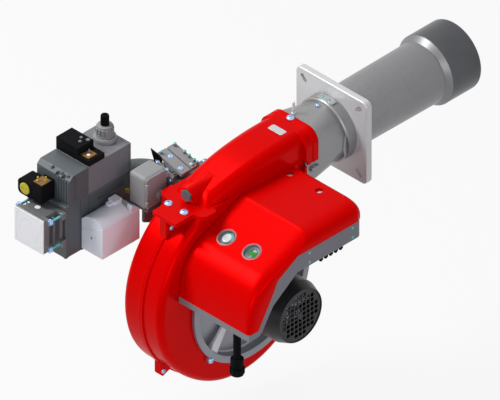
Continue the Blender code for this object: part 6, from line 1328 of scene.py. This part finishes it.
def cam_set():
    normal = Vector((math.sin(math.radians(-CAM_TILT)), 0, math.cos(math.radians(CAM_TILT))))
    for name, node, low, high in (("gas_cam_strip", "gas_cam", -559, -521), ("air_cam_strip", "air_cam", -516, -482)):
        strip = prism(name, cam_outline(), low, high, "Y", 1.0)
        line = prism("line", [cam_point(x, z) for x, z in ((-55, 31.1), (55, 31.1), (55, 33), (-55, 33))],
                     (low + high) / 2 - 14.4, (low + high) / 2 - 13.6, "Y")
        cut(strip, line, rod("shaft", (CAMS.x, low - 1, CAMS.z), "Y", 7.2, high - low + 2, sides=40))
        eased(strip, 0.4, 2, 50)
        piece(name, "servo_shaft", [(strip, SERVO)], [node])

    def tops(*spots, lift=0.0):
        """Places on top of the cams, from (x along the cam, y)."""
        ends = [(cam_point(x, CAM_TOP), y) for x, y in spots]
        return [((a, y, b + lift), normal, 1.0) for (a, b), y in ends]

    big = fasteners("cam_screws", flat_screw("cam_screw", 8.4, 2.4), tops((-20, -534), (34, -543)), ZINC)
    post_tops = tops((-46, -550), (-46, -492), (-6, -489), (14, -489), (36, -489), (48, -489))
    stub = turned("stub", [(0, 0), (4.6, 0), (4.6, 6, 0.5), (3.4, 7, 0.4), (3.4, 9, 0.6), (0, 9)], 3, sides=24)
    posts = fasteners("cam_posts", stub, post_tops, PORT)
    cap = turned("cap", [(0, 8.8), (4.4, 8.8), (4.4, 10.6, 0.8), (0, 11.2)], 3, sides=24)
    caps = fasteners("cam_caps", cap, post_tops, TEAL)
    washer = fasteners("cam_washer", turned("washer", [(0, 0), (8.6, 0), (8.6, 1.4, 0.4), (0, 1.4)], 3, sides=40),
                       tops((42, -505)), YELLOW)
    head = fasteners("cam_washer_head", bolt_head("washer_head", 6.4, 5), tops((42, -505), lift=1.3), ZINC)
    piece("cam_fasteners", "servo_shaft", [big, posts, caps, washer, head])
    line = [cam_point(x, z) for x, z in ((-78, 34), (-40, 36), (-24, 19.4), (-44, -6), (-52, -2))]
    pointer = prism("pointer", line, -565, -561.4, "Y", 0.8)
    bar = prism("bar", [cam_point(x, z) for x, z in ((-40, 24), (-40, 18), (40, 16), (40, 22))], -579, -575, "Y", 0.8)
    screws = fasteners("strip_screws", flat_screw("strip_screw", 6.4, 2.2),
                       [((cam_point(x, 0)[0], -575, cam_point(x, 23)[1]), normal, 1.0) for x in (-26, 12)], ZINC)
    piece("cam_pointer_fin", "servo_shaft", [(pointer, BLACK), (bar, SERVO), screws])
    shaft = turned("shaft", [(0, -605.5), (7, -605.5), (7, -572), (12.4, -571, 0.6), (12.4, -561, 0.6), (7, -560.6),
                             (7, -478.5, 0.8), (0, -478.5)], 3, "Y", (CAMS.x, 0, CAMS.z), 48)
    piece("cam_drive_shaft", "servo_shaft", [(shaft, STEEL)], ["cam_shaft"])


# Panel tray, its screws, connectors and conduit

TRAY_CORNER = (353.2, -298.5)
CONDUIT = (295, -724)


def tray():
    """Tray under the hood, its rear right corner rounded about TRAY_CORNER."""
    wall = filleted([(-758.6, -242.8), (-717.5, -242.8, 4), (-702.4, -231.5, 8), (-656, -160.1, 8), (-554, -88, 6),
                     (-271.4, -88, 2), (-271.4, -29.4), (-552.1, -29.4, 10), (-563.8, -36, 10), (-633.1, -75.3, 14),
                     (-720, -220.9, 3), (-758.6, -220.9)], 5)
    shell = prism("tray", wall, 81.6, 380.3, "X", 2.2, 3)
    inner = filleted([(-745, -239.8), (-718, -239.8, 3), (-704.6, -229.6, 6), (-657.6, -157.6, 7), (-555, -85, 5),
                      (-274.4, -85), (-274.4, -20), (-552, -20, 8), (-566, -24, 8), (-640, -66, 12), (-727, -214, 3),
                      (-745, -214)], 5)
    hollow = prism("hollow", inner, 84.6, 377.4, "X")
    x, y = TRAY_CORNER
    for solid, radius in ((hollow, 24.2), (shell, 27.1)):
        away = block("away", (x, y, -102), (383, -270, -10))
        cut(away, rod("keep", (x, y, -101), "Z", radius, 90, sides=96))
        cut(solid, away)
    cut(shell, hollow)
    piece("panel_tray", ROOT, [(shell, PANEL_GREY)], ["panel_base"])
    places = [((380.0, y, z), (1, 0, 0), 1.0) for y in (-316, -499.6) for z in (-42, -76)]
    screws = fasteners("tray_screws", flat_screw("tray_screw", 4.4, 1.2), places, TEAL)
    piece("tray_side_screws", ROOT, [screws])
    bar = block("bar", (346.2, -440, -94.0), (363.8, -335, -88.3), 1.2)
    parts = [(bar, BLACK)]
    for i in range(5):
        y = -440 + 21 * (i + 0.5)
        parts.append((turned("connector", [(0, -117), (5.0, -117), (5.0, -112.6, 0.4), (7.2, -112),
                                           (8.2, -110.8, 0.5), (8.2, -100, 0.6), (6.4, -98), (6.4, -93.6),
                                           (0, -93.6)], 3, "Z", (357, y, 0), 32), BLACK))
    piece("connector_strip", ROOT, parts, ["connector_row"])


def conduit_run():
    profile = [(9.4, -372), (12, -372)]
    for i in range(27):
        z = -370.4 + i * 4.7
        profile += [(11.0, z), (12.0, z + 1.2), (12.0, z + 2.9), (11.0, z + 3.9)]
    profile += [(11.2, -243.6), (9.4, -243.6)]
    hose = lathe("hose", profile, "Z", (*CONDUIT, 0), 48)
    piece("ribbed_conduit", ROOT, [(hose, BLACK)], ["conduit"])
    body = turned("gland", [(12.3, -375), (8, -377), (8, -418.5), (17.6, -418.5, 0.8), (20.6, -417, 1),
                            (20.6, -410.5, 1), (17.8, -409, 0.5), (17.8, -393), (18, -390.6), (17.8, -385),
                            (20.8, -382, 1), (20.8, -360, 1.4), (17.6, -357, 1), (12.3, -357)], 3, "Z",
                  (*CONDUIT, 0), 64)
    grip = ((0.0, 21.4), (0.42, 21.4), (0.5, 24.0), (0.92, 24.0))
    nut = prism("nut", toothed(*CONDUIT, 10, grip), -409.6, -392.6, "Z", 1.0)
    cut(nut, rod("bore", (*CONDUIT, -411), "Z", 17.5, 20, sides=64))
    piece("conduit_gland_nut", ROOT, [(body, BLACK), (nut, BLACK)], ["conduit_gland"])


def bare_plate():
    """Pale plate on the cover's ridge, left bare."""
    plate = prism("plate", rounded_rect(-22, -275, 35, -248, 5, 5), 0, 1.2, "Z", 0.5, ends=(False, True))
    piece("ridge_plate", ROOT, [(moved(plate, Matrix.Translation((0, 0, 105.4))), LAMP_WHITE)])


def dress_cad_nodes():
    for material, names in CAD_FINISHES:
        for name in names.split():
            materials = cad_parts[name].data.materials
            materials.clear()
            materials.append(material)


set_camera()
set_studio()
dress_cad_nodes()
casing_halves()
cover_casting()
panel_hood()
lamps()
cover_fasteners()
head_casting()
mounting_flange()
blast_pipe()
inlet_dish()
spider_frame()
fan_motor()
gas_pipework()
valve_casting()
valve_cover()
coil_connector()
flow_adjuster()
pressure_unit()
inlet_port()
prover_unit()
servo_unit()
cam_set()
tray()
conduit_run()
bare_plate()
